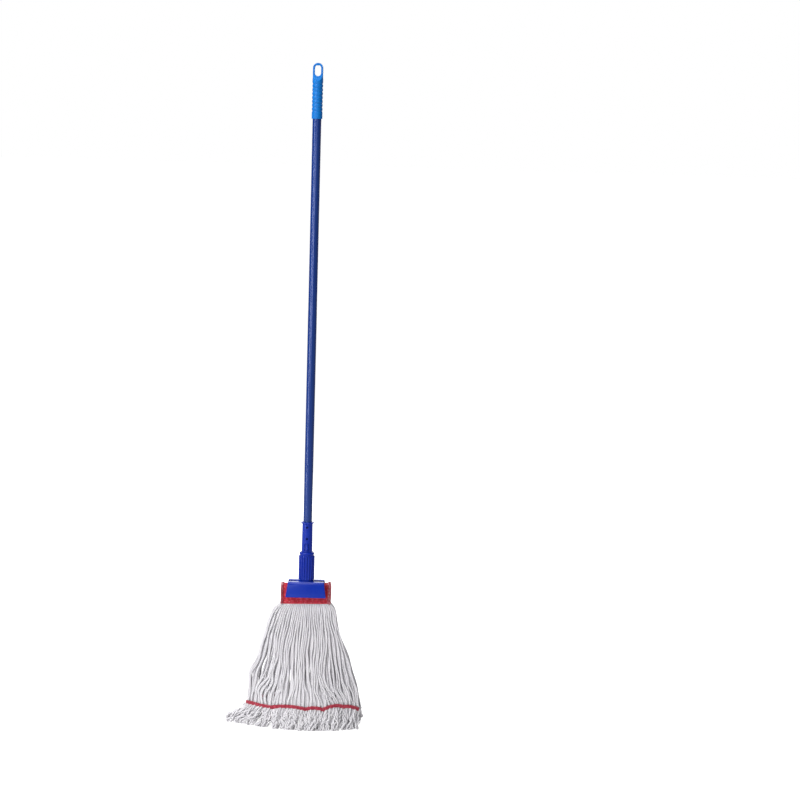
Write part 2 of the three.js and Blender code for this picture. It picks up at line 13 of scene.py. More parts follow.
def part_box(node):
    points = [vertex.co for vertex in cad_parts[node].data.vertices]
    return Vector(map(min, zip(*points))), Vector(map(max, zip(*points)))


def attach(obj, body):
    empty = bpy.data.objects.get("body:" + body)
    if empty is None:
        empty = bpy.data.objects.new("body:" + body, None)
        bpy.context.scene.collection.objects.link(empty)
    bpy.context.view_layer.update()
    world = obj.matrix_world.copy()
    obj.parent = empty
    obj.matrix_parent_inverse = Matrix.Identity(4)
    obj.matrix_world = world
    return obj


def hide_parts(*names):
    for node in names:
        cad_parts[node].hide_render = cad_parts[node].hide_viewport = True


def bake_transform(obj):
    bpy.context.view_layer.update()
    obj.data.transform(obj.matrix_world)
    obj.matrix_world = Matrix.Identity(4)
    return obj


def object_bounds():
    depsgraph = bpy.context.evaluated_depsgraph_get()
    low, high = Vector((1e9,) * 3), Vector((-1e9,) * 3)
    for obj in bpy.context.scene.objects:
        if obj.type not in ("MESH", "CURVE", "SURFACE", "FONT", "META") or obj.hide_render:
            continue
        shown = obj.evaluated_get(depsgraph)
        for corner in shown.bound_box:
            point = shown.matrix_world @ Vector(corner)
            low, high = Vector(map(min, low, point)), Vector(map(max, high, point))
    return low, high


# A string mop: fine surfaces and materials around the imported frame. Shapes are worked out in
# millimetres above the floor with the handle's axis at x = y = 0 and the front towards -Y, and
# mesh_object() turns them into the frame's metres.

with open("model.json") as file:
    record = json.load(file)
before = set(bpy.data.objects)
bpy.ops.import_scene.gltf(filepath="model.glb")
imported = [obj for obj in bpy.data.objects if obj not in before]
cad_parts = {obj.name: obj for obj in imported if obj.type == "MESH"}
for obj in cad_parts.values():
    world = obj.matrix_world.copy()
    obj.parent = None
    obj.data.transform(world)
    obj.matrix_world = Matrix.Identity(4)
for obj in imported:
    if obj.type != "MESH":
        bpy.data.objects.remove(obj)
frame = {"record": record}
cad_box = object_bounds()

MM = 0.001
FLOOR_M = cad_box[0].z
FRONT, REAR = -1, 1
FRONT_ANGLE = 1.5 * pi
X_AXIS = array([1.0, 0.0, 0.0])
VIEW_FRONT, VIEW_SIDE = (0, 2, 1), (1, 2, 0)
SEED = 20


def box_mm(node):
    """The lowest and highest corners of a CAD node, in millimetres above the floor."""
    lift = array([0, 0, FLOOR_M])
    return [(array(corner) - lift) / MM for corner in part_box(node)]


# ---------------------------------------------------------------- driving dimensions
tube_low, tube_high = box_mm("handle_tube")
grip_low, grip_high = box_mm("hanging_grip")
socket_top = box_mm("clamp_body")[1][2]
nut_low, nut_high = box_mm("clamp_nut")
washer_low, washer_high = box_mm("thrust_washer")
jaw_low, jaw_high = box_mm("front_jaw")
plug_low, plug_high = box_mm("tube_end_plug")
band_low, band_high = box_mm("headband_outer")

TUBE_R, TUBE_WALL = tube_high[0], 0.8
BORE_R = TUBE_R + 0.3
SHELF = jaw_high[2]
SEAT = (frame["record"]["mounts"][0]["pos_m"][2] - FLOOR_M) / MM

GRIP_R, SHOULDER = grip_high[0], 1603
LOOP_R, LOOP_HALF = 12.6, 5.6
LOOP_CENTRE = grip_high[2] - LOOP_R
HOLE_R, HOLE_LOW = 7.5, LOOP_CENTRE - 12
RIDGE_LOW, RIDGE_PITCH, RIDGES, GROOVE_DEPTH, GROOVE_HALF = 1537, 9.4, 7, 1.15, 3.6

SOCKET_TOP_R, SOCKET_LOW_R, FLANGE_R, FLANGE_HEIGHT = 13.0, 13.6, 16.0, 3.2
SOCKET_LOW, NECK_R, NECK_TOP, THREAD_FOOT = 432, 10, 381, 386
SCREW_HEIGHTS = (503, 474)
SCREW_R, SCREW_DEPTH = 2.6, 1.7
WEDGE = Sizes(low=446.5, high=461, low_half=4.6, high_half=2.0, rise=2.5)
POCKET = Sizes(low=443.5, high=462, half=6.3, depth=2.1)
SOFT = 0.4

THREAD_PITCH, THREAD_LOW, THREAD_HIGH = 5, 400, 417.5
THREAD_ROOT, THREAD_DEPTH, SOCKET_CREST, NUT_CREST = 13.4, 1.7, 0.7, 1.3
NUT = Sizes(core=17.5, ring=18.4, ring_low=434, neck=16.9, ribs=18, crest=20, rib=2.25,
            rib_top=431, low_bore=16.2, top_bore=14.1, minor=THREAD_ROOT + 0.45, groove=1.85)

PIN_R, PIN_Y, PIN_Z, PIN_HALF, PIN_HEAD_R = 2.0, 7, 358, 42, 2.9
PIN_GAP = 0.3
KNUCKLE_R, KNUCKLE_IN, KNUCKLE_OUT = 4.5, 14, 27
CROSSBAR_HALF, CROSSBAR_TOP, WEB_HALF = 41, 363, 2.2
JAW = Sizes(top_half=45, low_half=jaw_high[0], shelf_y=20.7, chamfer=6, wall=2.6, lip_y=9,
            lip=3, notch=14.8, teeth=12, inner_y=8.5, brace_y=12.6)
BRACES = (-44.4, -28.8, -1, 26.8, 42.4)

BAND = Sizes(half=band_high[0], foot=band_low[2], top=350, ear_top=band_high[2], pinch=8.5,
             spread=12, pinch_low=326, ear_start=43.4, ear_end=46.6, flare_start=55, flare=3,
             lean=0.022)
FOLD_LENGTH = 118.0
WEAVE_PITCH, WEAVE_LIFT, WEAVE_SINK = 2.7, 0.27, -0.5
THREAD_HALF_WIDTH, THREAD_HALF_THICK = 1.12, 0.2

STRANDS, LAYERS, GROUPS, STRAND_R = 120, 4, 6, 2.2
PLIES, PLY_PITCH, RING_STEP = 4, 17, 2.1
YARN_TOP, YARN_TAIL, YARN_START = 307.5, 47.0, 313.2
TWIST, SWAY = radians(-7), -6
FLARE_LEFT, FLARE_RIGHT, FLARE_OUT, END_OUT = 54, 2, 26, 14
TAPE_HALF, TAPE_THICK = 4.5, 0.8
# The tail band hangs in arches between its pinches: across, height of a pinch, rise of the arch.
ARCHES = array([(-1.03, 48.5, 2.5), (-0.735, 48, 1.5), (-0.475, 47, 7.5),
                   (0.125, 47.5, 7.5), (0.405, 46.5, 8.5), (0.745, 55, 7), (1.03, 41, 0)])
PINCHES = [(-0.735, 0.35), (-0.475, 1.0), (0.125, 1.0), (0.405, 0.9), (0.745, 0.35)]
# Open slits between strands: across, down, half length down, width in millimetres.
SLITS = [(0.72, 0.66, 0.16, 5.5), (0.80, 0.72, 0.12, 4.5), (0.60, 0.84, 0.07, 5),
         (0.22, 0.42, 0.09, 4.5), (-0.80, 0.66, 0.12, 4), (-0.80, 0.80, 0.07, 4.5),
         (-0.50, 0.80, 0.08, 4.5), (-0.24, 0.76, 0.07, 4), (0.10, 0.55, 0.08, 3.5),
         (0.43, 0.80, 0.07, 4.5), (-0.62, 0.55, 0.1, 3.5), (0.55, 0.4, 0.12, 3)]


# ---------------------------------------------------------------- mesh building
def unit(vectors):
    return vectors / maximum(norm(vectors, axis=-1, keepdims=True), 1e-12)


def ease(low, high, value):
    """A smooth step from 0 at low to 1 at high."""
    share = clip((value - low) / (high - low), 0, 1)
    return share * share * (3 - 2 * share)


def window(low, full, ebb, high, value):
    """Rises from 0 at low to 1 at full, and falls from 1 at ebb to 0 at high."""
    return ease(low, full, value) * (1 - ease(ebb, high, value))


def mix(a, b, share):
    return a + (b - a) * share


def across_flat(vectors, direction):
    """What is left of vectors after taking away their part along a unit direction."""
    return vectors - (vectors * direction).sum(-1, keepdims=True) * direction


def add_object(name, data):
    made = bpy.data.objects.new(name, data)
    bpy.context.scene.collection.objects.link(made)
    return made


def mesh_object(points, faces):
    placed = array(points, float).reshape(-1, 3) * MM
    placed[:, 2] += FLOOR_M
    mesh = bpy.data.meshes.new("piece")
    mesh.from_pydata(placed.tolist(), [], [list(map(int, face)) for face in faces])
    return add_object("piece", mesh)


def modified(target, kind, **settings):
    modifier = target.modifiers.new(kind, kind)
    for key, value in settings.items():
        setattr(modifier, key, value)


def bake(target):
    """Replaces an object's mesh by what its modifiers make of it."""
    depsgraph = bpy.context.evaluated_depsgraph_get()
    made = bpy.data.meshes.new_from_object(target.evaluated_get(depsgraph))
    old = target.data
    target.modifiers.clear()
    target.data = made
    bpy.data.meshes.remove(old)
    return target


def combine(target, others, operation):
    for other in others:
        modified(target, "BOOLEAN", operation=operation, solver="MANIFOLD", object=other)
        bake(target)
        bpy.data.objects.remove(other)
    return target


def joined(target, *others):
    combine(target, others, "UNION")


def cut(target, *others):
    combine(target, others, "DIFFERENCE")


def bevelled(target, width, segments=3):
    modified(target, "BEVEL", width=width * MM, segments=segments, limit_method="ANGLE",
             angle_limit=radians(25))
    return bake(target)


def finished(target, name, body, look, node_name=None, sharp=40):
    """Names a piece, gives it its material and makes it ride on a body."""
    slot, material = look
    target.name = target.data.name = name
    target.data.materials.clear()
    target.data.materials.append(material)
    target.data.shade_smooth()
    if sharp:
        target.data.set_sharp_from_angle(angle=radians(sharp))
    if body:
        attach(target, body)
    if node_name:
        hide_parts(node_name)
    return target


def set_value(target, name, values):
    attribute = target.data.attributes.new(name, "FLOAT", "POINT")
    attribute.data.foreach_set("value", np.ravel(values).astype(np.float32))


def rounded(corners, radius, steps=4, closed=True):
    """An outline whose corners are rounded; a corner may bring its own radius."""
    outline = []
    count = len(corners)
    for k, corner in enumerate(corners):
        point = array(corner[:2], float)
        if not closed and k in (0, count - 1):
            outline.append(point)
            continue
        before = array(corners[k - 1][:2], float) - point
        after = array(corners[(k + 1) % count][:2], float) - point
        wanted = corner[2] if len(corner) > 2 else radius
        reach = min(wanted, 0.45 * norm(before), 0.45 * norm(after))
        start, end = point + unit(before) * reach, point + unit(after) * reach
        for share in linspace(0, 1, steps + 1):
            outline.append(mix(mix(start, point, share), mix(point, end, share), share))
    return outline


def refined(outline, step, closed=True):
    """The same outline with no stretch longer than step."""
    made = []
    count = len(outline)
    for k in range(count if closed else count - 1):
        start, end = outline[k], outline[(k + 1) % count]
        pieces = max(1, ceil(norm(end - start) / step))
        made += [mix(start, end, n / pieces) for n in range(pieces)]
    return made if closed else made + [outline[-1]]


def turned(outline, columns=96, closed=True, shape=None):
    """A solid turned about Z from [radius, height] points, its radius changed by shape."""
    outline = array(outline, float)
    rows = len(outline)
    angle = linspace(0, 2 * pi, columns, endpoint=False)
    radius, height = (np.repeat(outline[:, n:n + 1], columns, 1) for n in (0, 1))
    if shape:
        radius = shape(radius, np.broadcast_to(angle, radius.shape), height)
    points = stack([radius * cos(angle), radius * sin(angle), height], -1)
    k = arange(rows if closed else rows - 1)[:, None]
    here, above = k * columns, (k + 1) % rows * columns
    a = arange(columns)[None]
    b = (a + 1) % columns
    faces = stack([here + a, here + b, above + b, above + a], -1).reshape(-1, 4).tolist()
    if not closed:
        faces += [list(range(columns))[::-1], [(rows - 1) * columns + n for n in range(columns)]]
    return mesh_object(points, faces)


def laid(target, change):
    """Moves a solid's points, given to change as x, y and the height above the floor."""
    points = array([v.co for v in target.data.vertices])
    points[:, 2] -= FLOOR_M
    placed = stack(change(*points.T), -1)
    target.data.vertices.foreach_set("co", placed.astype(np.float32).ravel())
    return target


def rod_x(radius, x0, x1, y, z):
    """A rod along X round a line at y and z."""
    made = turned([(radius, x0), (radius, x1)], 40, closed=False)
    return laid(made, lambda a, b, c: (c, b + y * MM, -a + z * MM + FLOOR_M))


def outwards(target):
    """Turns a closed mesh's faces out if they point in."""
    mesh = target.data
    mesh.calc_loop_triangles()
    points = array([v.co for v in mesh.vertices])
    points = points - points.mean(0)
    corners = array([t.vertices for t in mesh.loop_triangles])
    a, b, c = (points[corners[:, n]] for n in range(3))
    if np.einsum("ij,ij->i", a, cross(b, c)).sum() < 0:
        mesh.flip_normals()
    return target


def prism(outline, axes, near, far):
    """A prism whose outline lies in the first two axes, with its ends near and far along the
    third, each a number or a function of the outline's point."""
    count = len(outline)
    points = np.zeros((2, count, 3))
    for end, place in enumerate((near, far)):
        for k, point in enumerate(outline):
            points[end, k, axes] = *point[:2], place(point) if callable(place) else place
    faces = [list(range(count))[::-1], list(range(count, 2 * count))]
    faces += [[k, (k + 1) % count, count + (k + 1) % count, count + k] for k in range(count)]
    return outwards(mesh_object(points, faces))


def box(x0, x1, y0, y1, z0, z1):
    return prism([(x0, z0), (x1, z0), (x1, z1), (x0, z1)], VIEW_FRONT, y0, y1)


# ---------------------------------------------------------------- materials
def fed(target, inputs):
    """Sets a node's inputs, each to a value or linked from another node's output."""
    for key, value in inputs.items():
        if isinstance(value, bpy.types.NodeSocket):
            target.id_data.links.new(value, target.inputs[key])
        else:
            target.inputs[key].default_value = value
    return target


def node(look, kind, inputs=None, **settings):
    made = look.node_tree.nodes.new("ShaderNode" + kind)
    for key, value in settings.items():
        setattr(made, key, value)
    return fed(made, inputs or {})


def new_look(name, colour, roughness, metallic=0.0):
    look = bpy.data.materials.new(name)
    look.use_nodes = True
    shader = look.node_tree.nodes["Principled BSDF"]
    fed(shader, {"Base Color": (*colour, 1), "Roughness": roughness, "Metallic": metallic})
    return look, shader


def noise(look, scale, detail=3.0, stretch=(1, 1, 1), roughness=0.55):
    """A noise in the frame's metres, drawn out along an axis by a stretch below 1."""
    place = node(look, "TexCoord").outputs["Object"]
    laid_out = node(look, "Mapping", {"Vector": place, "Scale": stretch}).outputs["Vector"]
    inputs = {"Vector": laid_out, "Scale": scale, "Detail": detail, "Roughness": roughness}
    return node(look, "TexNoise", inputs).outputs["Fac"]


def ramp(look, value, low, high, to_low, to_high):
    inputs = {"Value": value, "From Min": low, "From Max": high, "To Min": to_low,
              "To Max": to_high}
    return node(look, "MapRange", inputs, clamp=True).outputs["Result"]


def blend_colour(look, share, first, second):
    """A mix of two colours, each a triple or a node's output."""
    first, second = ((*end, 1) if isinstance(end, tuple) else end for end in (first, second))
    inputs = {"Factor_Float": share, "A_Color": first, "B_Color": second}
    made = node(look, "Mix", data_type="RGBA")
    places = {socket.identifier: k for k, socket in enumerate(made.inputs)}
    fed(made, {places[key]: value for key, value in inputs.items()})
    return next(socket for socket in made.outputs if socket.enabled)


def attribute(look, name):
    return node(look, "Attribute", attribute_name=name).outputs["Fac"]


def bump(look, height, strength, distance_mm):
    inputs = {"Height": height, "Strength": strength, "Distance": distance_mm * MM}
    return node(look, "Bump", inputs).outputs["Normal"]


def total(look, whole, *others):
    for value in others:
        whole = node(look, "Math", {0: whole, 1: value}, operation="ADD").outputs[0]
    return whole


def times(look, value, factor):
    return node(look, "Math", {0: value, 1: factor}, operation="MULTIPLY").outputs[0]


def worn_plastic(name, colour, pale, roughness, grain):
    """Moulded plastic: a faint grain, drawn scratches and paler rubbed edges."""
    look, shader = new_look(name, colour, roughness)
    rubbed = ramp(look, node(look, "NewGeometry").outputs["Pointiness"], 0.52, 0.6, 0.0, 0.45)
    cloudy = times(look, noise(look, 45, 4), 0.22)
    scratches = noise(look, 1500, 2, (1, 1, 0.2))
    rough = total(look, noise(look, grain, 2), times(look, scratches, 0.4))
    fed(shader, {
        "Base Color": blend_colour(look, total(look, rubbed, cloudy), colour, pale),
        "Roughness": ramp(look, scratches, 0.35, 0.75, roughness - 0.02, roughness + 0.05),
        "Normal": bump(look, rough, 0.12, 0.12), "Specular IOR Level": 0.28})
    return look


def coated_steel(name, colour, pale):
    """A plastic-coated tube: glossy, with faint drawn lines along it."""
    look, shader = new_look(name, colour, 0.2)
    lines = noise(look, 260, 3, (1, 1, 0.01))
    uneven = total(look, times(look, lines, 0.3), noise(look, 70, 2))
    fed(shader, {
        "Base Color": blend_colour(look, ramp(look, lines, 0.35, 0.7, 0.0, 0.35), colour, pale),
        "Roughness": ramp(look, lines, 0.3, 0.7, 0.14, 0.2),
        "Normal": bump(look, uneven, 0.03, 0.02),
        "Specular Tint": (0.6, 0.68, 1, 1), "Specular IOR Level": 0.9})
    return look


def drawn_metal(name, colour, roughness, spotted=(0.12, 0.11, 0.1)):
    """Steel with drawn lines and darker spots."""
    look, shader = new_look(name, colour, roughness, 1.0)
    lines = noise(look, 1400, 3, (0.08, 1, 1))
    spots = ramp(look, noise(look, 220, 4), 0.5, 0.75, 0, 0.6)
    fed(shader, {
        "Base Color": blend_colour(look, spots, colour, spotted),
        "Roughness": ramp(look, lines, 0.3, 0.7, roughness - 0.1, roughness + 0.15),
        "Normal": bump(look, lines, 0.15, 0.05)})
    return look


def cotton(name, colour, shade_and_tone):
    """Twisted cotton: painted shade between the plies, random tones, fibres, loose fluff and a
    soft sheen.
    """
    look, shader = new_look(name, colour, 0.92)
    # Painted shade: the grooves between the plies are blended towards the darker colour, which
    # also takes the random tones.
    groove = ramp(look, attribute(look, "groove"), 0.0, 0.7, 0.6, 0.0)
    tone = times(look, attribute(look, "tone"), 0.22)
    patch = ramp(look, noise(look, 38, 4), 0.4, 0.8, 0.0, 0.2)
    fibres = noise(look, 1500, 4, (1, 1, 0.35), 0.7)
    fluff = total(look, fibres, times(look, noise(look, 4200, 2), 0.5))
    fed(shader, {
        "Base Color": blend_colour(look, total(look, groove, tone, patch), colour, shade_and_tone),
        "Normal": bump(look, fluff, 0.55, 0.35),
        "Sheen Weight": 0.35, "Sheen Roughness": 0.5, "Specular IOR Level": 0.2})
    return look


def woven(name, colour, painted_highlight_colour, dark, roughness=0.6):
    """Flat synthetic threads, uneven in colour, with painted highlights in noise patches and fine
    filaments along them.
    """
    look, shader = new_look(name, colour, roughness)
    patch = ramp(look, noise(look, 120, 4, (1, 1, 1), 0.65), 0.38, 0.68, 0.0, 1.0)
    # Painted highlights: noise patches lightened towards the brighter colour.
    painted_highlight = ramp(look, noise(look, 260, 3), 0.52, 0.72, 0.0, 0.8)
    shade = blend_colour(look, patch, dark, colour)
    fed(shader, {
        "Base Color": blend_colour(look, painted_highlight, shade, painted_highlight_colour),
        "Normal": bump(look, noise(look, 2600, 3, (0.4, 1, 0.4)), 0.5, 0.2),
        "Sheen Weight": 0.25, "Specular IOR Level": 0.35})
    return look


GRIP = "grip_plastic", worn_plastic("grip_blue", (0.0, 0.15, 0.53), (0.01, 0.27, 0.75), 0.42, 700)
CLAMP = "clamp_plastic", worn_plastic(
    "clamp_blue", (0.001, 0.016, 0.31), (0.012, 0.08, 0.62), 0.24, 500)
PLUG = "plug_plastic", worn_plastic(
    "plug_natural", (0.6, 0.62, 0.66), (0.75, 0.76, 0.8), 0.5, 600)
TUBE = "tube_paint", coated_steel("tube_coating", (0.005, 0.03, 0.19), (0.012, 0.05, 0.26))
ZINC = "zinc_steel", drawn_metal("zinc", (0.42, 0.43, 0.46), 0.35)
# The screws are near black: painted shade standing for the dark hollows of their deep recesses.
SCREW = "zinc_steel", drawn_metal("screw_painted_shade", (0.004, 0.005, 0.015), 0.55, (0.01, 0.01, 0.012))
YARN = "white_yarn", cotton("cotton_yarn", (0.9, 0.885, 0.91), (0.5, 0.485, 0.53))
# In each woven look the second colour is its painted highlight colour.
MESH = "red_mesh", woven(
    "red_mesh_thread", (0.72, 0.016, 0.045), (0.9, 0.16, 0.2), (0.46, 0.005, 0.018))
TAPE = "red_mesh", woven("red_tape", (0.45, 0.028, 0.062), (0.56, 0.08, 0.12), (0.3, 0.01, 0.03))
# The hems are a paler, pinker red than the headband.
HEM = "red_mesh", woven("pale_hem", (0.5, 0.12, 0.15), (0.8, 0.52, 0.54), (0.24, 0.01, 0.025))
STITCH = "red_mesh", woven("sewing_thread", (0.6, 0.1, 0.14), (0.8, 0.4, 0.42), (0.45, 0.05, 0.07))


# ---------------------------------------------------------------- handle
def grip():
    """The hanging grip: a ridged barrel that flattens into a loop round a long hole."""
    low, top = grip_low[2], grip_high[2]
    heights = arange(low + 0.6, top, 0.5)
    across = (heights - RIDGE_LOW) / RIDGE_PITCH
    nearest = RIDGE_LOW + RIDGE_PITCH * clip(np.round(across), 0, RIDGES)
    groove = 1 - ease(0, GROOVE_HALF, np.abs(heights - nearest))
    outline = [(GRIP_R - 0.7, low), *zip(GRIP_R - GROOVE_DEPTH * groove, heights), (GRIP_R, top)]
    barrel = turned(outline, 120, closed=False)

    wide = GRIP_R + 1
    crown = [(LOOP_R * cos(a), LOOP_CENTRE + LOOP_R * sin(a)) for a in linspace(0, pi, 49)]
    front = [(-wide, SHOULDER), (-wide, low - 1), (wide, low - 1), (wide, SHOULDER),
             (LOOP_R, SHOULDER + 15), *crown, (-LOOP_R, SHOULDER + 15)]
    share = linspace(0, 1, 17)
    taper = mix(wide, LOOP_HALF, ease(0, 1, share) ** 0.9)
    rise = SHOULDER + 3 + 22 * share
    side = [(-wide, low - 1), (wide, low - 1), *zip(taper, rise), (LOOP_HALF, top + 1),
            (-LOOP_HALF, top + 1), *zip(-taper[::-1], rise[::-1])]
    views = [prism(front, VIEW_FRONT, -wide, wide), prism(side, VIEW_SIDE, -wide, wide)]
    made = combine(barrel, views, "INTERSECT")

    half_turn = linspace(0, pi, 33)
    seat = SEAT - LOOP_CENTRE
    hole = [(HOLE_R * cos(a), LOOP_CENTRE + min(HOLE_R * sin(a), seat)) for a in half_turn]
    hole += [(-HOLE_R * cos(a), HOLE_LOW - HOLE_R * sin(a)) for a in half_turn]
    bore = turned([(BORE_R, low - 1), (BORE_R, tube_high[2] + 1)], closed=False)
    cut(made, prism(hole, VIEW_FRONT, -wide, wide), bore)
    modified(made, "REMESH", mode="VOXEL", voxel_size=0.42 * MM)
    modified(made, "SMOOTH", factor=0.5, iterations=5)
    return finished(bake(made), "grip", "handle", GRIP, "hanging_grip", 0)


def tube():
    low, high, inner = tube_low[2], tube_high[2], TUBE_R - TUBE_WALL
    corners = [(TUBE_R, low), (TUBE_R, high), (inner, high), (inner, low)]
    made = turned(refined(rounded(corners, 0.3, 2), 40), 128)
    return finished(made, "tube", "handle", TUBE, "handle_tube")


def plug():
    """The plug in the tube's end, with rings round it."""
    radius, low, high = plug_high[0], plug_low[2], plug_high[2]
    ring = radius - 0.8
    corners = [(0.01, low), (radius, low, 1.2)]
    for height in arange(low + 12, high - 6, 14):
        corners += [(radius, height), (ring, height + 1), (ring, height + 3),
                    (radius, height + 4)]
    outline = rounded(corners + [(radius, high, 1.2), (0.01, high)], 0.3, 2, closed=False)
    return finished(turned(outline, 64, closed=False), "plug", "handle", PLUG, "tube_end_plug")


def screw(height, name):
    """A countersunk cross-head screw along -Y, sunk below the socket's surface."""
    head = SOCKET_TOP_R - SCREW_DEPTH + 0.55
    corners = [(0.01, 0), (0.4, 0), (1.5, 2.5), (1.5, head - 1.6), (SCREW_R, head - 0.4, 0.2),
               (SCREW_R - 0.2, head, 0.2), (0.01, head + 0.15)]
    made = turned(rounded(corners, 0.2, 2, closed=False), 40, closed=False)
    for wide, tall in ((0.35, 1.5), (1.5, 0.35)):
        cut(made, box(-wide, wide, -tall, tall, head - 0.9, head + 1))
    laid(made, lambda a, b, c: (a, -c, b + FLOOR_M + height * MM))
    return finished(made, "screw_" + name, "handle", SCREW, "socket_screw_" + name)


# ---------------------------------------------------------------- clamp
def thread_shape(angle, height, half_crest, slope=0.8):
    """How far a screw thread stands at an angle and height, from 0 at its root to 1."""
    turns = (height - THREAD_LOW) / THREAD_PITCH - angle / (2 * pi)
    away = np.abs(turns - np.round(turns)) * THREAD_PITCH
    return 1 - clip((away - half_crest) / slope, 0, 1)


def socket_shape(radius, angle, height):
    """The socket's round wall with its thread, screw recesses, pocket and wedge."""
    ahead = (angle - FRONT_ANGLE) * radius
    aside = np.abs(ahead)
    outer = (radius > BORE_R + 0.05) & (radius < SOCKET_LOW_R + 0.1)
    threaded = window(THREAD_LOW - 1, THREAD_LOW, THREAD_HIGH, THREAD_HIGH + 1, height)
    made = radius + THREAD_DEPTH * threaded * thread_shape(angle, height, SOCKET_CREST)
    for screw_height in SCREW_HEIGHTS:
        away = np.hypot(ahead, height - screw_height)
        made = made - SCREW_DEPTH * (1 - ease(SCREW_R, SCREW_R + 0.6, away))
    low, high = POCKET.low, POCKET.high
    beside = 1 - ease(POCKET.half - SOFT, POCKET.half, aside)
    made = made - POCKET.depth * beside * window(low, low + SOFT, high - SOFT, high, height)
    climb = (height - WEDGE.low) / (WEDGE.high - WEDGE.low)
    half = mix(WEDGE.low_half, WEDGE.high_half, climb)
    on = (1 - ease(half - SOFT, half, aside)) * window(-0.03, 0.0, 0.97, 1.03, climb)
    face = SOCKET_LOW_R - 0.4 + WEDGE.rise * (1 - climb)
    return where(outer, mix(made, maximum(made, face), on), radius)


def socket():
    low, top, floor = CROSSBAR_TOP - 3, socket_top, tube_low[2] - 0.6
    flange = top - FLANGE_HEIGHT
    corners = [(0.01, low), (NECK_R, low), (NECK_R, NECK_TOP), (THREAD_ROOT, THREAD_FOOT),
               (THREAD_ROOT, SOCKET_LOW - 2), (SOCKET_LOW_R, SOCKET_LOW),
               (SOCKET_LOW_R, SOCKET_LOW + 10), (SOCKET_TOP_R, flange - 1),
               (FLANGE_R, flange), (FLANGE_R, top, 0.9), (BORE_R, top, 0.4),
               (BORE_R, floor), (0.01, floor)]
    outline = refined(rounded(corners, 0.5, 3, closed=False), 0.45, closed=False)
    made = turned(outline, 252, closed=False, shape=socket_shape)
    return finished(made, "socket", "handle", CLAMP, "clamp_body", 55)


def crossbar():
    """The bar under the socket that carries the two jaw pins."""
    end, outer, inner = CROSSBAR_HALF, KNUCKLE_OUT + PIN_GAP, KNUCKLE_IN - PIN_GAP
    spans = [(-end, -outer), (-inner, inner), (outer, end)]
    made = bevelled(box(-end, end, -WEB_HALF, WEB_HALF, PIN_Z - KNUCKLE_R, CROSSBAR_TOP), 0.4)
    for y in (-PIN_Y, PIN_Y):
        web = sorted((0, y))
        for x0, x1 in spans:
            joined(made, bevelled(rod_x(KNUCKLE_R, x0, x1, y, PIN_Z), 0.4),
                   box(x0 + 0.6, x1 - 0.6, *web, PIN_Z - WEB_HALF, PIN_Z + WEB_HALF))
    for y in (-PIN_Y, PIN_Y):
        cut(made, rod_x(PIN_R + PIN_GAP, -50, 50, y, PIN_Z))
    return finished(made, "crossbar", "handle", CLAMP, "clamp_body")


def nut_shape(radius, angle, height):
    """The nut's ribs on the outside and its thread on the inside."""
    pitch = 2 * pi / NUT.ribs
    off = (angle - FRONT_ANGLE + pitch / 2) % pitch - pitch / 2
    centre = NUT.crest - NUT.rib
    low, high = nut_low[2] + 1 + NUT.rib, NUT.rib_top - NUT.rib
    past = maximum(maximum(height - high, low - height), 0)
    reach2 = maximum(NUT.rib ** 2 - past ** 2, 0) - (centre * sin(off)) ** 2
    rib = where(reach2 > 0, centre * cos(off) + sqrt(maximum(reach2, 0)), 0)
    fillet = 0.12
    higher = 0.5 * (radius + rib + sqrt((radius - rib) ** 2 + fillet)) - fillet / 8
    outside = (radius > NUT.neck - 0.3) & (height < NUT.ring_low - 1) & (height > low - 3)
    made = where(outside & (rib > 0), maximum(radius, higher), radius)
    bore = (radius < NUT.low_bore + 0.1) & (height < THREAD_HIGH + 3)
    groove = NUT.minor + NUT.groove * thread_shape(angle, height, NUT_CREST)
    return where(bore, maximum(made, groove), made)


def nut():
    low, top = nut_low[2], nut_high[2]
    corners = [(NUT.low_bore, low), (NUT.core, low, 0.8), (NUT.core, NUT.rib_top - 1.5),
               (NUT.neck, NUT.rib_top), (NUT.neck, NUT.ring_low - 0.6),
               (NUT.ring, NUT.ring_low), (NUT.ring, top - 2.4), (NUT.ring - 0.9, top - 0.9),
               (NUT.ring - 2.8, top), (NUT.top_bore, top, 0.3), (NUT.top_bore, THREAD_HIGH + 4),
               (NUT.minor, THREAD_HIGH + 3), (NUT.minor, THREAD_LOW - 3),
               (NUT.low_bore, THREAD_LOW - 5)]
    made = turned(refined(rounded(corners, 0.5, 3), 0.8), 18 * NUT.ribs, shape=nut_shape)
    return finished(made, "nut", "nut", CLAMP, "clamp_nut", 50)


def washer():
    inner, outer, low, high = 15.4, washer_high[0], washer_low[2], washer_high[2]
    made = turned(rounded([(inner, low), (outer, low), (outer, high), (inner, high)], 0.5))
    return finished(made, "washer", "washer", CLAMP, "thrust_washer")


def jaw_half(point):
    """Half the jaw's length at a point of its section, whose ends slant outwards."""
    share = (point[1] - jaw_low[2]) / (SHELF - jaw_low[2])
    return mix(JAW.low_half, JAW.top_half, share)


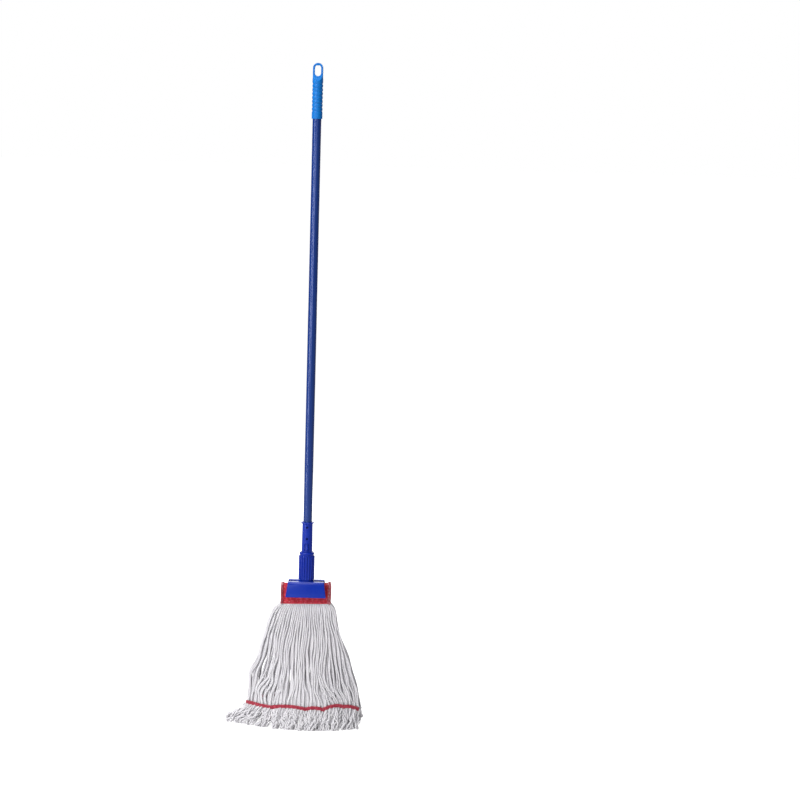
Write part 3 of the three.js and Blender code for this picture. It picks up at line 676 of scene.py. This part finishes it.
def jaw(side, name):
    """One jaw: a folded plate with a toothed lip, inner ribs and knuckles for its pin."""
    bottom, wall, shelf_y, inner_y = jaw_low[2], JAW.wall, JAW.shelf_y, JAW.inner_y
    flare_y, outer_y = -jaw_low[1], shelf_y + JAW.chamfer
    fold, lip_top = SHELF - JAW.chamfer, bottom + JAW.lip
    edge_y, brace_y = JAW.lip_y + 1.6, JAW.brace_y
    brace_edge = edge_y + 0.4

    def facing(points):
        return [(side * y, z) for y, z in points]

    section = facing([(inner_y, SHELF), (shelf_y, SHELF), (outer_y, fold), (flare_y, bottom),
                      (edge_y, bottom), (edge_y, lip_top), (flare_y - wall, lip_top),
                      (outer_y - wall, fold - 1), (shelf_y - 1, SHELF - wall),
                      (inner_y, SHELF - wall)])
    made = bevelled(prism(section, VIEW_SIDE, lambda p: -jaw_half(p), jaw_half), 0.7, 4)
    brace = facing([(brace_y, SHELF - 1), (shelf_y, SHELF - 1), (outer_y - 1, fold - 0.5),
                    (flare_y - 1, bottom + 1), (brace_edge, bottom + 1),
                    (brace_edge, lip_top), (outer_y - 6, 343), (brace_y, 354)])
    for x in BRACES:
        joined(made, prism(brace, VIEW_SIDE, x, x + 2))
    pitch = (2 * JAW.low_half - 4) / JAW.teeth
    tooth = sorted([side * JAW.lip_y, side * (edge_y + 0.5)])
    for n in range(JAW.teeth):
        x = -JAW.low_half + 2 + n * pitch
        joined(made, bevelled(box(x + 1, x + pitch - 1, *tooth, bottom + 0.05, lip_top - 0.05),
                              0.3, 2))
    strap = sorted([side * PIN_Y, side * 13.4])
    for end in (-1, 1):
        x0, x1 = sorted([end * (KNUCKLE_IN + PIN_GAP), end * (KNUCKLE_OUT - PIN_GAP)])
        joined(made, bevelled(rod_x(KNUCKLE_R, x0, x1, side * PIN_Y, PIN_Z), 0.4),
               box(x0 + 0.5, x1 - 0.5, *strap, PIN_Z - 1, SHELF - wall + 0.4))
    notch = turned([(JAW.notch, SHELF - 9), (JAW.notch, SHELF + 5)], closed=False)
    cut(made, notch, rod_x(PIN_R + PIN_GAP, -60, 60, side * PIN_Y, PIN_Z))
    return finished(made, "jaw_" + name, name + "_jaw_body", CLAMP, name + "_jaw", 30)


def pin(side, name):
    """A jaw pin with a domed head, its head towards the left at the front."""
    corners = [(0.01, -PIN_HALF - 1.6), (PIN_HEAD_R, -PIN_HALF - 1.2, 0.8),
               (PIN_HEAD_R, -PIN_HALF, 0.2), (PIN_R, -PIN_HALF), (PIN_R, PIN_HALF, 0.6),
               (0.01, PIN_HALF)]
    made = turned(rounded(corners, 0.3, 3, closed=False), 40, closed=False)
    laid(made, lambda a, b, c: (-side * c, b + side * PIN_Y * MM, a + PIN_Z * MM + FLOOR_M))
    return finished(outwards(made), "pin_" + name, "handle", ZINC, name + "_jaw_pin")


# ---------------------------------------------------------------- ropes, ribbons and sheets
def swept(paths, outline, turn=0.0, size=1.0, start=X_AXIS):
    """Solids swept along paths (ropes, rings, 3) from an outline of [across, out] points, which
    is carried along without turning from its start."""
    count, rings, _ = paths.shape
    sides = len(outline)
    tangent = unit(gradient(paths, axis=1))
    normal = np.zeros_like(paths)
    carried = np.broadcast_to(start, tangent[:, 0].shape)
    for k in range(rings):
        carried = normal[:, k] = unit(across_flat(carried, tangent[:, k]))
    binormal = cross(tangent, normal)
    turn, size = (np.broadcast_to(value, (count, rings))[..., None] for value in (turn, size))
    across, out = array(outline, float).T
    x = (across * cos(turn) - out * sin(turn)) * size
    y = (across * sin(turn) + out * cos(turn)) * size
    points = (paths[:, :, None] + x[..., None] * normal[:, :, None]
              + y[..., None] * binormal[:, :, None])
    base = arange(count)[:, None, None] * rings * sides
    here = base + arange(rings - 1)[None, :, None] * sides
    a = arange(sides)[None, None]
    b = (a + 1) % sides
    faces = stack([here + a, here + b, here + sides + b, here + sides + a], -1)
    faces = faces.reshape(-1, 4).tolist()
    for first in base.ravel():
        last = first + (rings - 1) * sides
        faces += [list(range(first, first + sides))[::-1], list(range(last, last + sides))]
    return points, faces


def circle(sides):
    return arange(sides) * 2 * pi / sides


def ply_outline():
    """The section of a rope of four plies, with a radius of about 1, and how open it is."""
    angle = circle(16)
    off = (angle + pi / PLIES) % (2 * pi / PLIES) - pi / PLIES
    radius = 0.5 * cos(off) + sqrt(0.525 ** 2 - (0.5 * sin(off)) ** 2)
    share = (radius - radius.min()) / (radius.max() - radius.min())
    return stack([radius * cos(angle), radius * sin(angle)], -1), share


def yarn_piece(name, paths, radius, rng, body=None, node_name=None):
    """Ropes of twisted yarn as one object, with a tone for each rope and the grooves marked for
    painted shade.
    """
    outline, open_share = ply_outline()
    count = len(paths)
    steps = norm(np.diff(paths, axis=1), axis=-1)
    length = concatenate([np.zeros((count, 1)), steps.cumsum(1)], 1)
    turn = 2 * pi * (length / PLY_PITCH + rng.random((count, 1)))
    points, faces = swept(paths, outline, turn, radius)
    centre = paths[:, :, None]
    points = centre + (points - centre) * (1 + rng.normal(0, 0.025, points.shape[:3]))[..., None]
    made = mesh_object(points, faces)
    for value, values in (("tone", rng.random((count, 1, 1))), ("groove", open_share)):
        set_value(made, value, np.broadcast_to(values, points.shape[:3]))
    return finished(made, name, body, YARN, node_name, 0)


def flat_outline(half_width, half_thick, sides=10):
    """A flat thread's section: a flattened oval."""
    angle = circle(sides)
    across = np.sign(cos(angle)) * np.abs(cos(angle)) ** 0.6
    return stack([half_width * across, half_thick * sin(angle)], -1)


def stitches(name, starts, ends, body, radius=0.42, lift=(0, 0, 0)):
    """Short stitches from starts to ends, each a small thread that dives at both ends."""
    share = linspace(0, 1, 7)
    arch = sin(pi * share)
    paths = mix(starts[:, None], ends[:, None], share[None, :, None])
    paths = paths + np.reshape(lift, (-1, 1, 3)) * arch[None, :, None]
    angle = arange(8) * pi / 4
    outline = stack([cos(angle), sin(angle)], -1)
    size = radius * (0.45 + 0.55 * arch ** 0.5)
    made = mesh_object(*swept(paths, outline, 0.0, size[None], array([0.3, 0.2, 0.9])))
    return finished(made, name, body, STITCH, None, 0)


def thick_sheet(outer, inner):
    """A closed sheet between two grids of points (rows, columns, 3)."""
    rows, columns, _ = outer.shape
    layer = rows * columns
    index = arange(layer).reshape(rows, columns)
    top = stack([index[:-1, :-1], index[:-1, 1:], index[1:, 1:], index[1:, :-1]], -1)
    top = top.reshape(-1, 4)
    rim = concatenate([index[0, :-1], index[:-1, -1], index[-1, :0:-1], index[:0:-1, 0]])
    after = np.roll(rim, -1)
    faces = [*top.tolist(), *(top[:, ::-1] + layer).tolist(),
             *stack([after, rim, rim + layer, after + layer], -1).tolist()]
    points = concatenate([outer.reshape(-1, 3), inner.reshape(-1, 3)])
    return outwards(mesh_object(points, faces))


# ---------------------------------------------------------------- headband
def band_half(x, z):
    """Half the folded headband's thickness."""
    foot = (BAND.spread - BAND.pinch) * (1 - ease(BAND.foot, BAND.pinch_low, z))
    return BAND.pinch + foot + BAND.flare * ease(BAND.flare_start, BAND.half, abs(x))


def band_section(x, inset, steps=160):
    """Points evenly spaced over the fold at a place along X, from the front foot to the rear."""
    ear = ease(BAND.ear_start, BAND.ear_end, abs(x))
    fold_half = band_half(x, BAND.top)
    fold_low = mix(BAND.top, BAND.ear_top, ear) - fold_half
    z = linspace(BAND.foot, fold_low, 60)
    wall = stack([-(band_half(x, z) - inset), z], -1)
    angle = linspace(pi, 0, 40)
    radius = fold_half - inset
    crest = stack([radius * cos(angle), fold_low + radius * sin(angle)], -1)
    line = concatenate([wall[:-1], crest, (wall * [-1, 1])[::-1][1:]])
    along = concatenate([[0], norm(np.diff(line, axis=0), axis=1).cumsum()])
    share = linspace(0, along[-1], steps)
    height = np.interp(share, along, line[:, 1]) + BAND.lean * x
    return stack([np.full(steps, x), np.interp(share, along, line[:, 0]), height], -1)


def crumple(x, share):
    """The headband's gentle unevenness, in millimetres outwards."""
    over = share * 120
    ropes = 0.22 * cos(2 * pi * x / 4.1)
    return ropes + 0.3 * sin(0.21 * x + 0.13 * over) + 0.25 * sin(0.37 * x - 0.24 * over + 1)


class BandSurface:
    """The headband's surface on a grid, read at any place and distance over the fold."""

    def __init__(self, inset):
        self.x = linspace(-BAND.half, BAND.half, 181)
        self.grid = array([band_section(x, inset) for x in self.x])
        self.normal = unit(cross(gradient(self.grid, axis=0), gradient(self.grid, axis=1)))
        self.normal *= -np.sign(self.normal[90, 10, 1])

    def at(self, x, share, lift=0.0):
        """Points at places along X and shares over the fold, lifted outwards."""
        rows, columns, _ = self.grid.shape
        i = clip((x - self.x[0]) / (self.x[1] - self.x[0]), 0, rows - 1.001)
        j = clip(share * (columns - 1), 0, columns - 1.001)
        i0, j0 = i.astype(int), j.astype(int)
        fi, fj = (i - i0)[..., None], (j - j0)[..., None]

        def read(grid):
            low = mix(grid[i0, j0], grid[i0 + 1, j0], fi)
            return mix(low, mix(grid[i0, j0 + 1], grid[i0 + 1, j0 + 1], fi), fj)

        height = crumple(x, share) + lift
        return read(self.grid) + read(self.normal) * height[..., None]


def headband_threads(name, x, share, crossing, first, side, start=None):
    """Flat red threads side by side, each over and under the threads that cross it."""
    row = first + arange(len(x))[:, None]
    lift = WEAVE_SINK + side * WEAVE_LIFT * cos(pi * (crossing + row))
    outline = flat_outline(THREAD_HALF_WIDTH, THREAD_HALF_THICK)
    paths = band_surface.at(x, share, lift)
    if start is None:
        start = unit(band_surface.at(x[:, 0], share[:, 0] + 0.01)
                     - band_surface.at(x[:, 0], share[:, 0]))
    made = mesh_object(*swept(paths, outline, start=start))
    finished(made, "headband_" + name, "refill", MESH, "headband_outer", 0)


def headband_weave():
    """The headband's outer mesh: threads over the fold, and threads along it."""
    half = BAND.half - 2
    over = arange(-half, half + 0.1, WEAVE_PITCH)
    down = arange(1.2, FOLD_LENGTH - 1, WEAVE_PITCH)
    steps = linspace(0.004, 0.996, 4 * len(down))
    middle = len(over) // 2
    for first, name, part in ((0, "left", over[:middle]), (middle, "right", over[middle:])):
        x, share = np.broadcast_arrays(part[:, None], steps[None])
        crossing = (share * FOLD_LENGTH - down[0]) / WEAVE_PITCH
        headband_threads("warp_" + name, x, share, crossing, first, 1, X_AXIS)
    steps = linspace(-half - 0.8, half + 0.8, 4 * len(over))
    middle = len(down) // 2
    for first, name, part in ((0, "front", down[:middle]), (middle, "rear", down[middle:])):
        x, share = np.broadcast_arrays(steps[None], part[:, None] / FOLD_LENGTH)
        headband_threads("weft_" + name, x, share, (x + half) / WEAVE_PITCH, first, -1)


def headband_ropes(rng):
    """The yarn inside the headband, running over the fold side by side."""
    reach = BAND.half - 3.4
    x, share = np.broadcast_arrays(linspace(-reach, reach, 30)[:, None],
                                   linspace(0.075, 0.925, 56)[None])
    paths = BandSurface(3.1).at(x, share)
    yarn_piece("headband_ropes", paths, 1.98, rng, "refill", "headband_yarn")


def headband_lining():
    """The plain inner tape that lines the fold."""
    half, sheets = BAND.half - 1, []
    for depth in (1.9, 0.9):
        grid = array([band_section(x, band_half(x, BAND.top) - depth, 120)
                         for x in linspace(-half, half, 64)])
        grid[..., 1] = clip(grid[..., 1], -depth, depth)
        sheets.append(grid)
    finished(thick_sheet(*sheets), "headband_lining", "refill", MESH, "headband_inner")


def headband_hems():
    """The turned-in ends of the headband: a thick rolled strip over the fold at each end."""
    share = linspace(0.0, 1.0, 120)
    corner = maximum(0, 1 - np.abs(share - 0.5) / 0.16) ** 2
    foot = maximum(0, 1 - minimum(share, 1 - share) / 0.06) ** 2
    ripple = 0.25 * sin(share * FOLD_LENGTH / 3.1 * pi)
    step = 4.0 / FOLD_LENGTH
    first = arange(0.03, 0.96, step)
    for side, name, width in ((-1, "left", 2.6), (1, "right", 4.2)):
        middle = BAND.half - width - 0.2
        paths = band_surface.at(side * (middle - 3.5 * corner - 1.5 * foot), share, 0.15 + ripple)
        made = mesh_object(*swept(paths[None], flat_outline(width, 1.25, 20)))
        finished(made, "headband_hem_roll_" + name, "refill", HEM, "headband_hem_" + name, 0)
        for row, offset in (("inner", -0.55), ("outer", 0.45)):
            x = np.full(len(first), side * (middle + offset * width))
            stitches(f"hem_stitches_{name}_{row}", band_surface.at(x, first, 1.3),
                     band_surface.at(x, first + 0.62 * step, 1.3), "refill")


def headband_stitches():
    """Two rows of stitching along the foot of the headband, front and rear."""
    half = BAND.half - 9
    x = arange(-half, half, 4.6)
    for name, share in (("front_low", 0.035), ("front_high", 0.09), ("rear_low", 0.965),
                        ("rear_high", 0.91)):
        at = np.full(len(x), share)
        stitches("foot_stitches_" + name, band_surface.at(x, at), band_surface.at(x + 3, at),
                 "refill")


# ---------------------------------------------------------------- yarn curtains
def bezier(a, b, c, d):
    return lambda t: (a * (1 - t) ** 3 + 3 * b * t * (1 - t) ** 2 + 3 * c * t ** 2 * (1 - t)
                      + d * t ** 3)


curtain_half = bezier(67, 88, 136, 142)
curtain_middle = bezier(6.8, 13, 38, 55)
curtain_end = bezier(6.8, 7.5, 9, 10)


def bell(value, middle, width):
    return exp(-((value - middle) / width) ** 2)


def yarn_point(side, u, t, out):
    """A point on the yarn: u runs from -1 at the left to 1, t from the headband at 0 to the
    tail band at 1 and the floor at 2, and out is the distance outwards."""
    s, fall = minimum(t, 1), maximum(t - 1, 0)
    hung = maximum(s, 0)
    flare = where(u < 0, FLARE_LEFT, FLARE_RIGHT)
    left = 9 * window(-0.01, 0.06, 0.1, 0.55, t) + 8 * bell(t, 0.69, 0.09)
    fuller = where(u < 0, left, 4 * bell(t, 0.08, 0.06)) * np.abs(u) ** 3
    gathered = 7 * (1 - ease(-0.01, 0.035, t)) - fuller
    x = SWAY * 4 * s * (1 - s) * (s > 0) + u * (
        curtain_half(hung) - gathered + flare * fall ** 1.4 * np.abs(u))
    end = curtain_end(hung) + END_OUT * fall
    middle = curtain_middle(hung) + FLARE_OUT * fall
    x = x + out * ease(0, 1, s) * u / 2
    y = side * (mix(end, middle, maximum(1 - u * u, 0) ** 0.8) + out)
    turn = TWIST * hung
    z = mix(YARN_TOP, YARN_TAIL, s) - YARN_TAIL * fall
    return stack([x * cos(turn) - y * sin(turn),
                     x * sin(turn) + y * cos(turn), z], -1)


def across_of(side, u):
    """The front and the rear tail bands hang in opposite orders."""
    return u if side == FRONT else -u


def tape_height(u):
    """Height of the tail band's middle."""
    span = clip(np.searchsorted(ARCHES[:, 0], u, side="right") - 1, 0, len(ARCHES) - 2)
    low, high = ARCHES[span], ARCHES[span + 1]
    share = clip((u - low[..., 0]) / (high[..., 0] - low[..., 0]), 0, 1)
    arch = maximum(4 * share * (1 - share), 0) ** 0.6
    return mix(low[..., 1], high[..., 1], share) + low[..., 2] * arch


def pleat(u):
    """How far the tail is drawn in at its pinches, and out between them."""
    return 1.0 - 3.5 * sum(depth * bell(u, place, 0.035) for place, depth in PINCHES)


def squeezed(u):
    """Strands crowd towards each pinch."""
    return u + 0.35 * sum(depth * (place - u) * bell(u, place, 0.06) for place, depth in PINCHES)


def down_of_height(z):
    return where(z >= YARN_TAIL, (YARN_TOP - z) / (YARN_TOP - YARN_TAIL),
                    1 + (YARN_TAIL - z) / YARN_TAIL)


def strand_drift(side, u, t, rng, inner):
    """How far each strand strays sideways at each height, in millimetres. Inner strands stray
    less, and the rear curtain has narrower slits."""
    drift = np.zeros(np.broadcast(u, t).shape)
    for _ in range(70):
        place, height = rng.uniform(-1, 1), rng.uniform(0.12, 0.92)
        wide, tall = rng.uniform(0.03, 0.12), rng.uniform(0.08, 0.22)
        size = rng.normal(0, 3.4) * (0.35 + 0.65 * height)
        drift += size * bell(u, place, wide) * bell(t, height, tall)
    lag = 1 + 0.35 * sin(9 * u + rng.uniform(0, 6)) + 0.3 * sin(23 * u)
    late = t + 0.035 * sin(7 * u + rng.uniform(0, 6)) + 0.02 * sin(31 * u)
    sweep = window(0.3, 0.7, 0.75, 0.91, late)
    drift -= 20 * np.sign(u) * np.abs(u) ** 0.6 * (1 - u ** 6) * lag * sweep
    slits = [(across_of(side, place), *size) for place, *size in SLITS]
    for _ in range(60):
        height = 0.88 - 0.78 * rng.random() ** 1.4
        slits.append((rng.uniform(-0.97, 0.97), height, rng.uniform(0.05, 0.14),
                      rng.uniform(2.2, 5.5) * (0.35 + 0.75 * height)))
    share = 0.62 if side == FRONT else 0.4
    for place, height, tall, wide in slits:
        opening = maximum(1 - ((t - height) / tall) ** 2, 0) ** 1.5
        near = exp(-np.abs(u - place) * curtain_half(0.7) / 8)
        drift += share * wide * np.tanh((u - place) / 0.004) * near * opening
    wave = rng.uniform(0, 2 * pi, u.shape)
    drift += 0.7 * sin(2 * pi * t * rng.uniform(2.5, 5, u.shape) + wave)
    curl = 2 * pi * 3.4 * t + 17 * u + 2 * sin(29 * u)
    drift += 1.7 * ease(0.35, 0.75, t) * sin(curl)
    return drift * (1 - 0.8 * inner) * window(0, 0.12, 0.93, 1, t)


def settled(points, spacing, rounds=70, hold=0.06):
    """Moves strands (strands, levels, 3) apart at each level until they only touch."""
    rest = points[..., :2].transpose(2, 1, 0)
    moved = rest.copy()
    own = np.eye(len(points), dtype=bool)[None]
    for _ in range(rounds):
        apart = moved[:, :, :, None] - moved[:, :, None]
        away = sqrt((apart ** 2).sum(0)) + 1e-6
        push = where(own, 0, maximum(spacing[:, None, None] - away, 0) / away)
        moved += 0.3 * (apart * push).sum(3) + hold * (rest - moved)
        moved[:, 1:-1] = 0.5 * moved[:, 1:-1] + 0.25 * (moved[:, 2:] + moved[:, :-2])
    return concatenate([moved.transpose(2, 1, 0), points[..., 2:]], -1)


def strand_paths(side, rng):
    """Centre lines of a curtain's strands, from inside the headband to under the tail band."""
    u = linspace(-1, 1, STRANDS)[:, None]
    seen = across_of(side, u)
    levels = round((YARN_START - YARN_TAIL) / RING_STEP)
    share = linspace(0, 1, levels)[None]
    start = (YARN_TOP - YARN_START) / (YARN_TOP - YARN_TAIL)
    t = mix(start, down_of_height(tape_height(seen)), share)
    layer = (arange(STRANDS) % LAYERS * 2 / (LAYERS - 1) - 1)[:, None]
    drift = strand_drift(side, u, t, rng, layer < 0)
    here = mix(u, across_of(side, squeezed(seen)), ease(0.72, 0.98, t))
    here = here + drift / curtain_half(clip(t, 0, 1))
    depth = 2.0 + 1.8 * ease(0.0, 0.2, t) - 1.6 * ease(0.55, 0.97, t)
    out = layer * depth + pleat(seen) * ease(0.8, 1.0, t)
    points = yarn_point(side, here, t, out)
    spacing = 2 * np.interp(share[0], [0, 0.05, 0.3, 0.95, 1], [1.4, 1.7, 2.1, 2.1, 1.85])
    return settled(points, spacing)


def strand_radius(levels):
    along = linspace(0, 1, levels)
    return STRAND_R * np.interp(along, [0, 0.04, 0.3, 0.95, 1], [0.62, 0.8, 1, 1, 0.85])


def circling(angle, reach, across, beside):
    """Points at a reach and an angle round a line, from its two crosswise directions."""
    return ((reach * cos(angle))[..., None] * across
            + (reach * sin(angle))[..., None] * beside)


def loop_paths(side, ends, rng, inwards=0.0):
    """Centre lines of the fringe's loops, each joining two neighbouring strands' ends."""
    pairs = len(ends) // 2
    u = linspace(-1, 1, pairs + 1)[:-1] + 1 / pairs
    first, second = ends[0::2], ends[1::2]
    middle, apart = (first + second) / 2, (first - second) / 2
    jitter = rng.normal(0, 0.022, pairs)
    lift = rng.uniform(0, 1, pairs) ** 2 * 7
    out = rng.uniform(-3, 3, pairs) + 0.5 * pleat(across_of(side, u)) - inwards
    foot = yarn_point(side, clip(u + jitter, -1, 1), np.full(pairs, 1.97), out)
    foot[:, 2] = STRAND_R + 1 + lift
    travel = foot - middle
    flat, drop = travel * [1, 1, 0], travel * [0, 0, 1]
    bend = rng.normal(0, 3.5, (pairs, 3)) * [1, 1, 0.3]
    near = middle + 0.12 * flat + 0.42 * drop + 0.5 * bend
    far = foot - 0.35 * flat + [0, 0, 4] + 0.25 * np.abs(drop) + bend
    share = linspace(0, 1, 27)
    line = bezier(*(p[:, None] for p in (middle, near, far, foot)))(share[None, :, None])
    tangent = unit(gradient(line, axis=1))
    across = unit(across_flat(apart[:, None], tangent))
    beside = cross(tangent, across)

    def drawn(low, high):
        return rng.uniform(low, high, (pairs, 1))

    curl = 2 * pi * (rng.random((pairs, 1)) + drawn(0.7, 1.5) * share)
    line = line + circling(curl, drawn(2.0, 6.5) * ease(0.2, 0.9, share), across, beside)
    open_eye = 2.5 + drawn(0.5, 3.6) * ease(0.5, 0.95, share)
    spread = mix(norm(apart, axis=1)[:, None], open_eye, ease(0, 0.35, share))
    turn = 2 * pi * rng.choice([-1, 1], (pairs, 1)) * drawn(0.6, 2.0) * ease(0.05, 1, share)
    offset = circling(turn, spread, across, beside)
    arc = linspace(0, pi, 9)[1:-1][None, :, None]
    final = offset[:, -1:]
    reach = 1.15 * norm(final, axis=-1, keepdims=True)
    eye = line[:, -1:] + cos(arc) * final + sin(arc) * reach * tangent[:, -1:]
    paths = concatenate([line + offset, eye, (line - offset)[:, ::-1]], 1)
    paths[..., 2] = maximum(paths[..., 2], STRAND_R)
    return paths


def loops_apart(paths, rounds=16):
    """Pushes loops off each other, keeping them on the floor and their ends in place."""
    count, steps, _ = paths.shape
    fixed = minimum(arange(steps), arange(steps)[::-1])
    free = ease(1, 7, fixed)[None, :, None]
    spacing, batch = 2 * STRAND_R, 200
    place, loop = np.tile(arange(steps), count), np.repeat(arange(count), steps)
    for _ in range(rounds):
        points = paths.reshape(-1, 3)
        order = np.argsort(points[:, 0])
        lined = points[order]
        shift = np.zeros_like(points)
        for start in range(0, len(points), batch):
            rows = slice(start, start + batch)
            low = np.searchsorted(lined[:, 0], lined[rows][0, 0] - spacing)
            high = np.searchsorted(lined[:, 0], lined[rows][-1, 0] + spacing)
            mine, near = order[rows], order[low:high]
            apart = lined[rows][:, None] - lined[low:high][None]
            away = sqrt((apart ** 2).sum(-1)) + 1e-6
            same = loop[mine][:, None] == loop[near][None]
            same &= np.abs(place[mine][:, None] - place[near][None]) < 6
            push = where(same, 0, maximum(spacing - away, 0) / away)
            shift[mine] = (apart * push[..., None]).sum(1)
        size = norm(shift, axis=-1, keepdims=True)
        shift *= minimum(1, 0.9 / maximum(size, 1e-6)) * 0.45
        paths = paths + shift.reshape(paths.shape) * free
        blurred = 0.5 * paths[:, 1:-1] + 0.25 * (paths[:, 2:] + paths[:, :-2])
        paths[:, 1:-1] = mix(paths[:, 1:-1], blurred, 0.4 * free[:, 1:-1])
        paths[..., 2] = maximum(paths[..., 2], STRAND_R)
    return paths


def lying_on(base, tangent, outward, ends):
    """How far out a tape must lie to rest on the strand ends, smoothed along it."""
    away = ends[None] - base[:, None]
    beside = np.abs((away * tangent[:, None]).sum(-1))
    out = (away * outward[:, None]).sum(-1) + STRAND_R
    top = where(beside < 3.5, out, -9).max(1)
    reach = arange(-12, 13)
    wide = exp(-(reach / 6.0) ** 2)
    padded = np.pad(maximum(top, np.median(top)), reach[-1], mode="edge")
    return np.convolve(padded, wide / wide.sum(), "valid")


def tail_tape(side, face, name, node_name, body, ends):
    """The red tape across a curtain above its fringe, on its outer (1) or inner (-1) face."""
    reach = 0.99 if side == FRONT and face == 1 else 0.965
    seen = linspace(-reach, reach, 321)[::-side]
    height = tape_height(seen)
    place = across_of(side, squeezed(seen))
    base = yarn_point(side, place, down_of_height(height), pleat(seen))
    along = gradient(base, axis=0)
    slope = gradient(height) / maximum(norm(along[:, :2], axis=1), 0.2)
    upward = unit(stack([-clip(slope, -1.1, 1.1), np.ones(len(seen))], -1))
    tangent = unit(along * [1, 1, 0])
    outward = stack([tangent[:, 1], -tangent[:, 0], np.zeros(len(seen))], -1)
    outward *= face * where(outward[:, 1:2] * side > 0, 1, -1)
    lift = lying_on(base, tangent, outward, ends * [1, 1, 0] + base.mean(0) * [0, 0, 1])
    base = base + outward * (lift + 0.2)[:, None]
    sheets = []
    for level in (0.5, -0.5):
        rows = []
        for share in linspace(-1, 1, 15):
            rib = 0.14 * cos(seen * 320) * (1 - share ** 4) * (level > 0)
            depth = TAPE_THICK * level * (1 - 0.5 * share ** 8) + rib
            curl = 0.5 * share ** 4 - 0.18 * cos(share * 8)
            shift = TAPE_HALF * share * upward
            point = base + shift[:, :1] * tangent + shift[:, 1:] * [0, 0, 1]
            rows.append(point + outward * (depth - 0.6 * curl)[:, None])
        sheets.append(array(rows))
    finished(thick_sheet(*sheets), name, body, TAPE, node_name, 60)
    first = arange(4, len(seen) - 6, 5)
    for row, label in ((3, "low"), (11, "high")):
        line = sheets[0][row] + outward * 0.12
        stitches(f"{name}_stitches_{label}", line[first], line[first + 3], body, 0.34,
                 outward[first] * 0.25)


def curtain(side, name):
    """One curtain of strands, its fringe of loops and its tail tapes."""
    body = name + "_curtain_body"
    rng = np.random.default_rng(SEED + side)
    paths = strand_paths(side, rng)
    radius = strand_radius(paths.shape[1])[None]
    for n, part in enumerate(np.array_split(paths, GROUPS)):
        made = yarn_piece(f"{name}_strands_{n + 1}", part, radius, rng)
        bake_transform(made)
        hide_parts(name + "_curtain")
    ends = paths[:, -1]
    loops = [loop_paths(side, ends, rng), loop_paths(side, ends[1:-1], rng, 6.0)[::3]]
    loops = concatenate(loops)
    loops = loops_apart(loops)
    for n, part in enumerate(np.array_split(loops, 2)):
        yarn_piece(f"{name}_fringe_loops_{n + 1}", part, STRAND_R * 1.04, rng, body,
                   name + "_fringe")
    for face, label in ((1, "outer"), (-1, "inner")):
        tail_tape(side, face, f"{name}_tail_band_{label}", f"{name}_tail_tape_{label}", body, ends)


# ---------------------------------------------------------------- stage
def stage_floor():
    size = 40.0
    mesh = bpy.data.meshes.new("floor")
    corners = [(-size, -size), (size, -size), (size, size), (-size, size)]
    mesh.from_pydata([(x, y, FLOOR_M) for x, y in corners], [], [(0, 1, 2, 3)])
    look, shader = new_look("floor_white", (0.9, 0.9, 0.9), 0.9)
    seen = node(look, "LightPath").outputs["Is Camera Ray"]
    fed(shader, {"Specular IOR Level": 0.0, "Emission Color": (1, 1, 1, 1),
                 "Emission Strength": times(look, seen, 0.85)})
    mesh.materials.append(look)
    add_object("floor", mesh)


def softbox(name, place, target, width, height, power):
    light = bpy.data.lights.new(name, "AREA")
    light.shape = "RECTANGLE"
    light.size, light.size_y, light.energy = width, height, power
    made = add_object(name, light)
    made.location = place
    made.rotation_euler = (Vector(target) - Vector(place)).to_track_quat("-Z", "Y").to_euler()


def studio():
    """A white world that lights only a little, and six soft lights."""
    world = bpy.data.worlds.new("studio")
    bpy.context.scene.world = world
    world.use_nodes = True
    rays = node(world, "LightPath").outputs
    dim = node(world, "Mix", {"Factor": rays["Is Glossy Ray"], "A": 0.2, "B": 0.12})
    seen = node(world, "Mix", {"Factor": rays["Is Camera Ray"], "A": dim.outputs["Result"],
                               "B": 1.0})
    fed(world.node_tree.nodes["Background"],
        {"Color": (1, 1, 1, 1), "Strength": seen.outputs["Result"]})
    middle = FLOOR_M / 2
    softbox("key", (-1.9, -2.2, 1.5), (0, 0, middle - 0.3), 0.7, 1.0, 72)
    softbox("side_strip", (-1.9, -1.5, -0.75), (0, 0, -0.75), 0.26, 1.5, 15)
    softbox("front", (0.3, -2.6, 0.3), (0, 0, -0.6), 1.3, 1.5, 6)
    softbox("low_front", (-0.9, -3.0, -0.7), (0, 0, FLOOR_M + 0.3), 1.0, 0.8, 12)
    softbox("overhead", (-0.2, 0.2, 1.2), (0, 0, FLOOR_M), 1.2, 1.2, 30)
    softbox("rear", (0, 3.6, 0.0), (0, 0, middle), 3.4, 2.0, 50)


def camera():
    """The viewpoint: 6 m in front, a little above the middle, looking down and leaning."""
    pitch, roll = radians(7.444), radians(1.605)
    forward = Vector((0, cos(pitch), -sin(pitch)))
    level = Vector((1, 0, 0))
    upright = Vector((0, sin(pitch), cos(pitch)))
    right = level * cos(roll) + upright * sin(roll)
    up = upright * cos(roll) - level * sin(roll)
    lens = bpy.data.cameras.new("camera")
    lens.lens, lens.sensor_width, lens.clip_end = 109.54, 36, 200
    made = add_object("camera", lens)
    turn = Matrix((right, up, -forward)).transposed()
    made.matrix_world = Matrix.Translation((0.2225, -6.0, FLOOR_M + 1.6136)) @ turn.to_4x4()
    bpy.context.scene.camera = made


# ---------------------------------------------------------------- the whole mop
grip()
tube()
plug()
for screw_height, label in zip(SCREW_HEIGHTS, ("upper", "lower")):
    screw(screw_height, label)
socket()
crossbar()
nut()
washer()
for make in (jaw, pin):
    make(FRONT, "front")
    make(REAR, "rear")

band_surface = BandSurface(0.0)
headband_weave()
headband_ropes(np.random.default_rng(SEED))
headband_lining()
headband_hems()
headband_stitches()
curtain(FRONT, "front")
curtain(REAR, "rear")

stage_floor()
studio()
camera()
bpy.context.scene.view_settings.view_transform = "Standard"
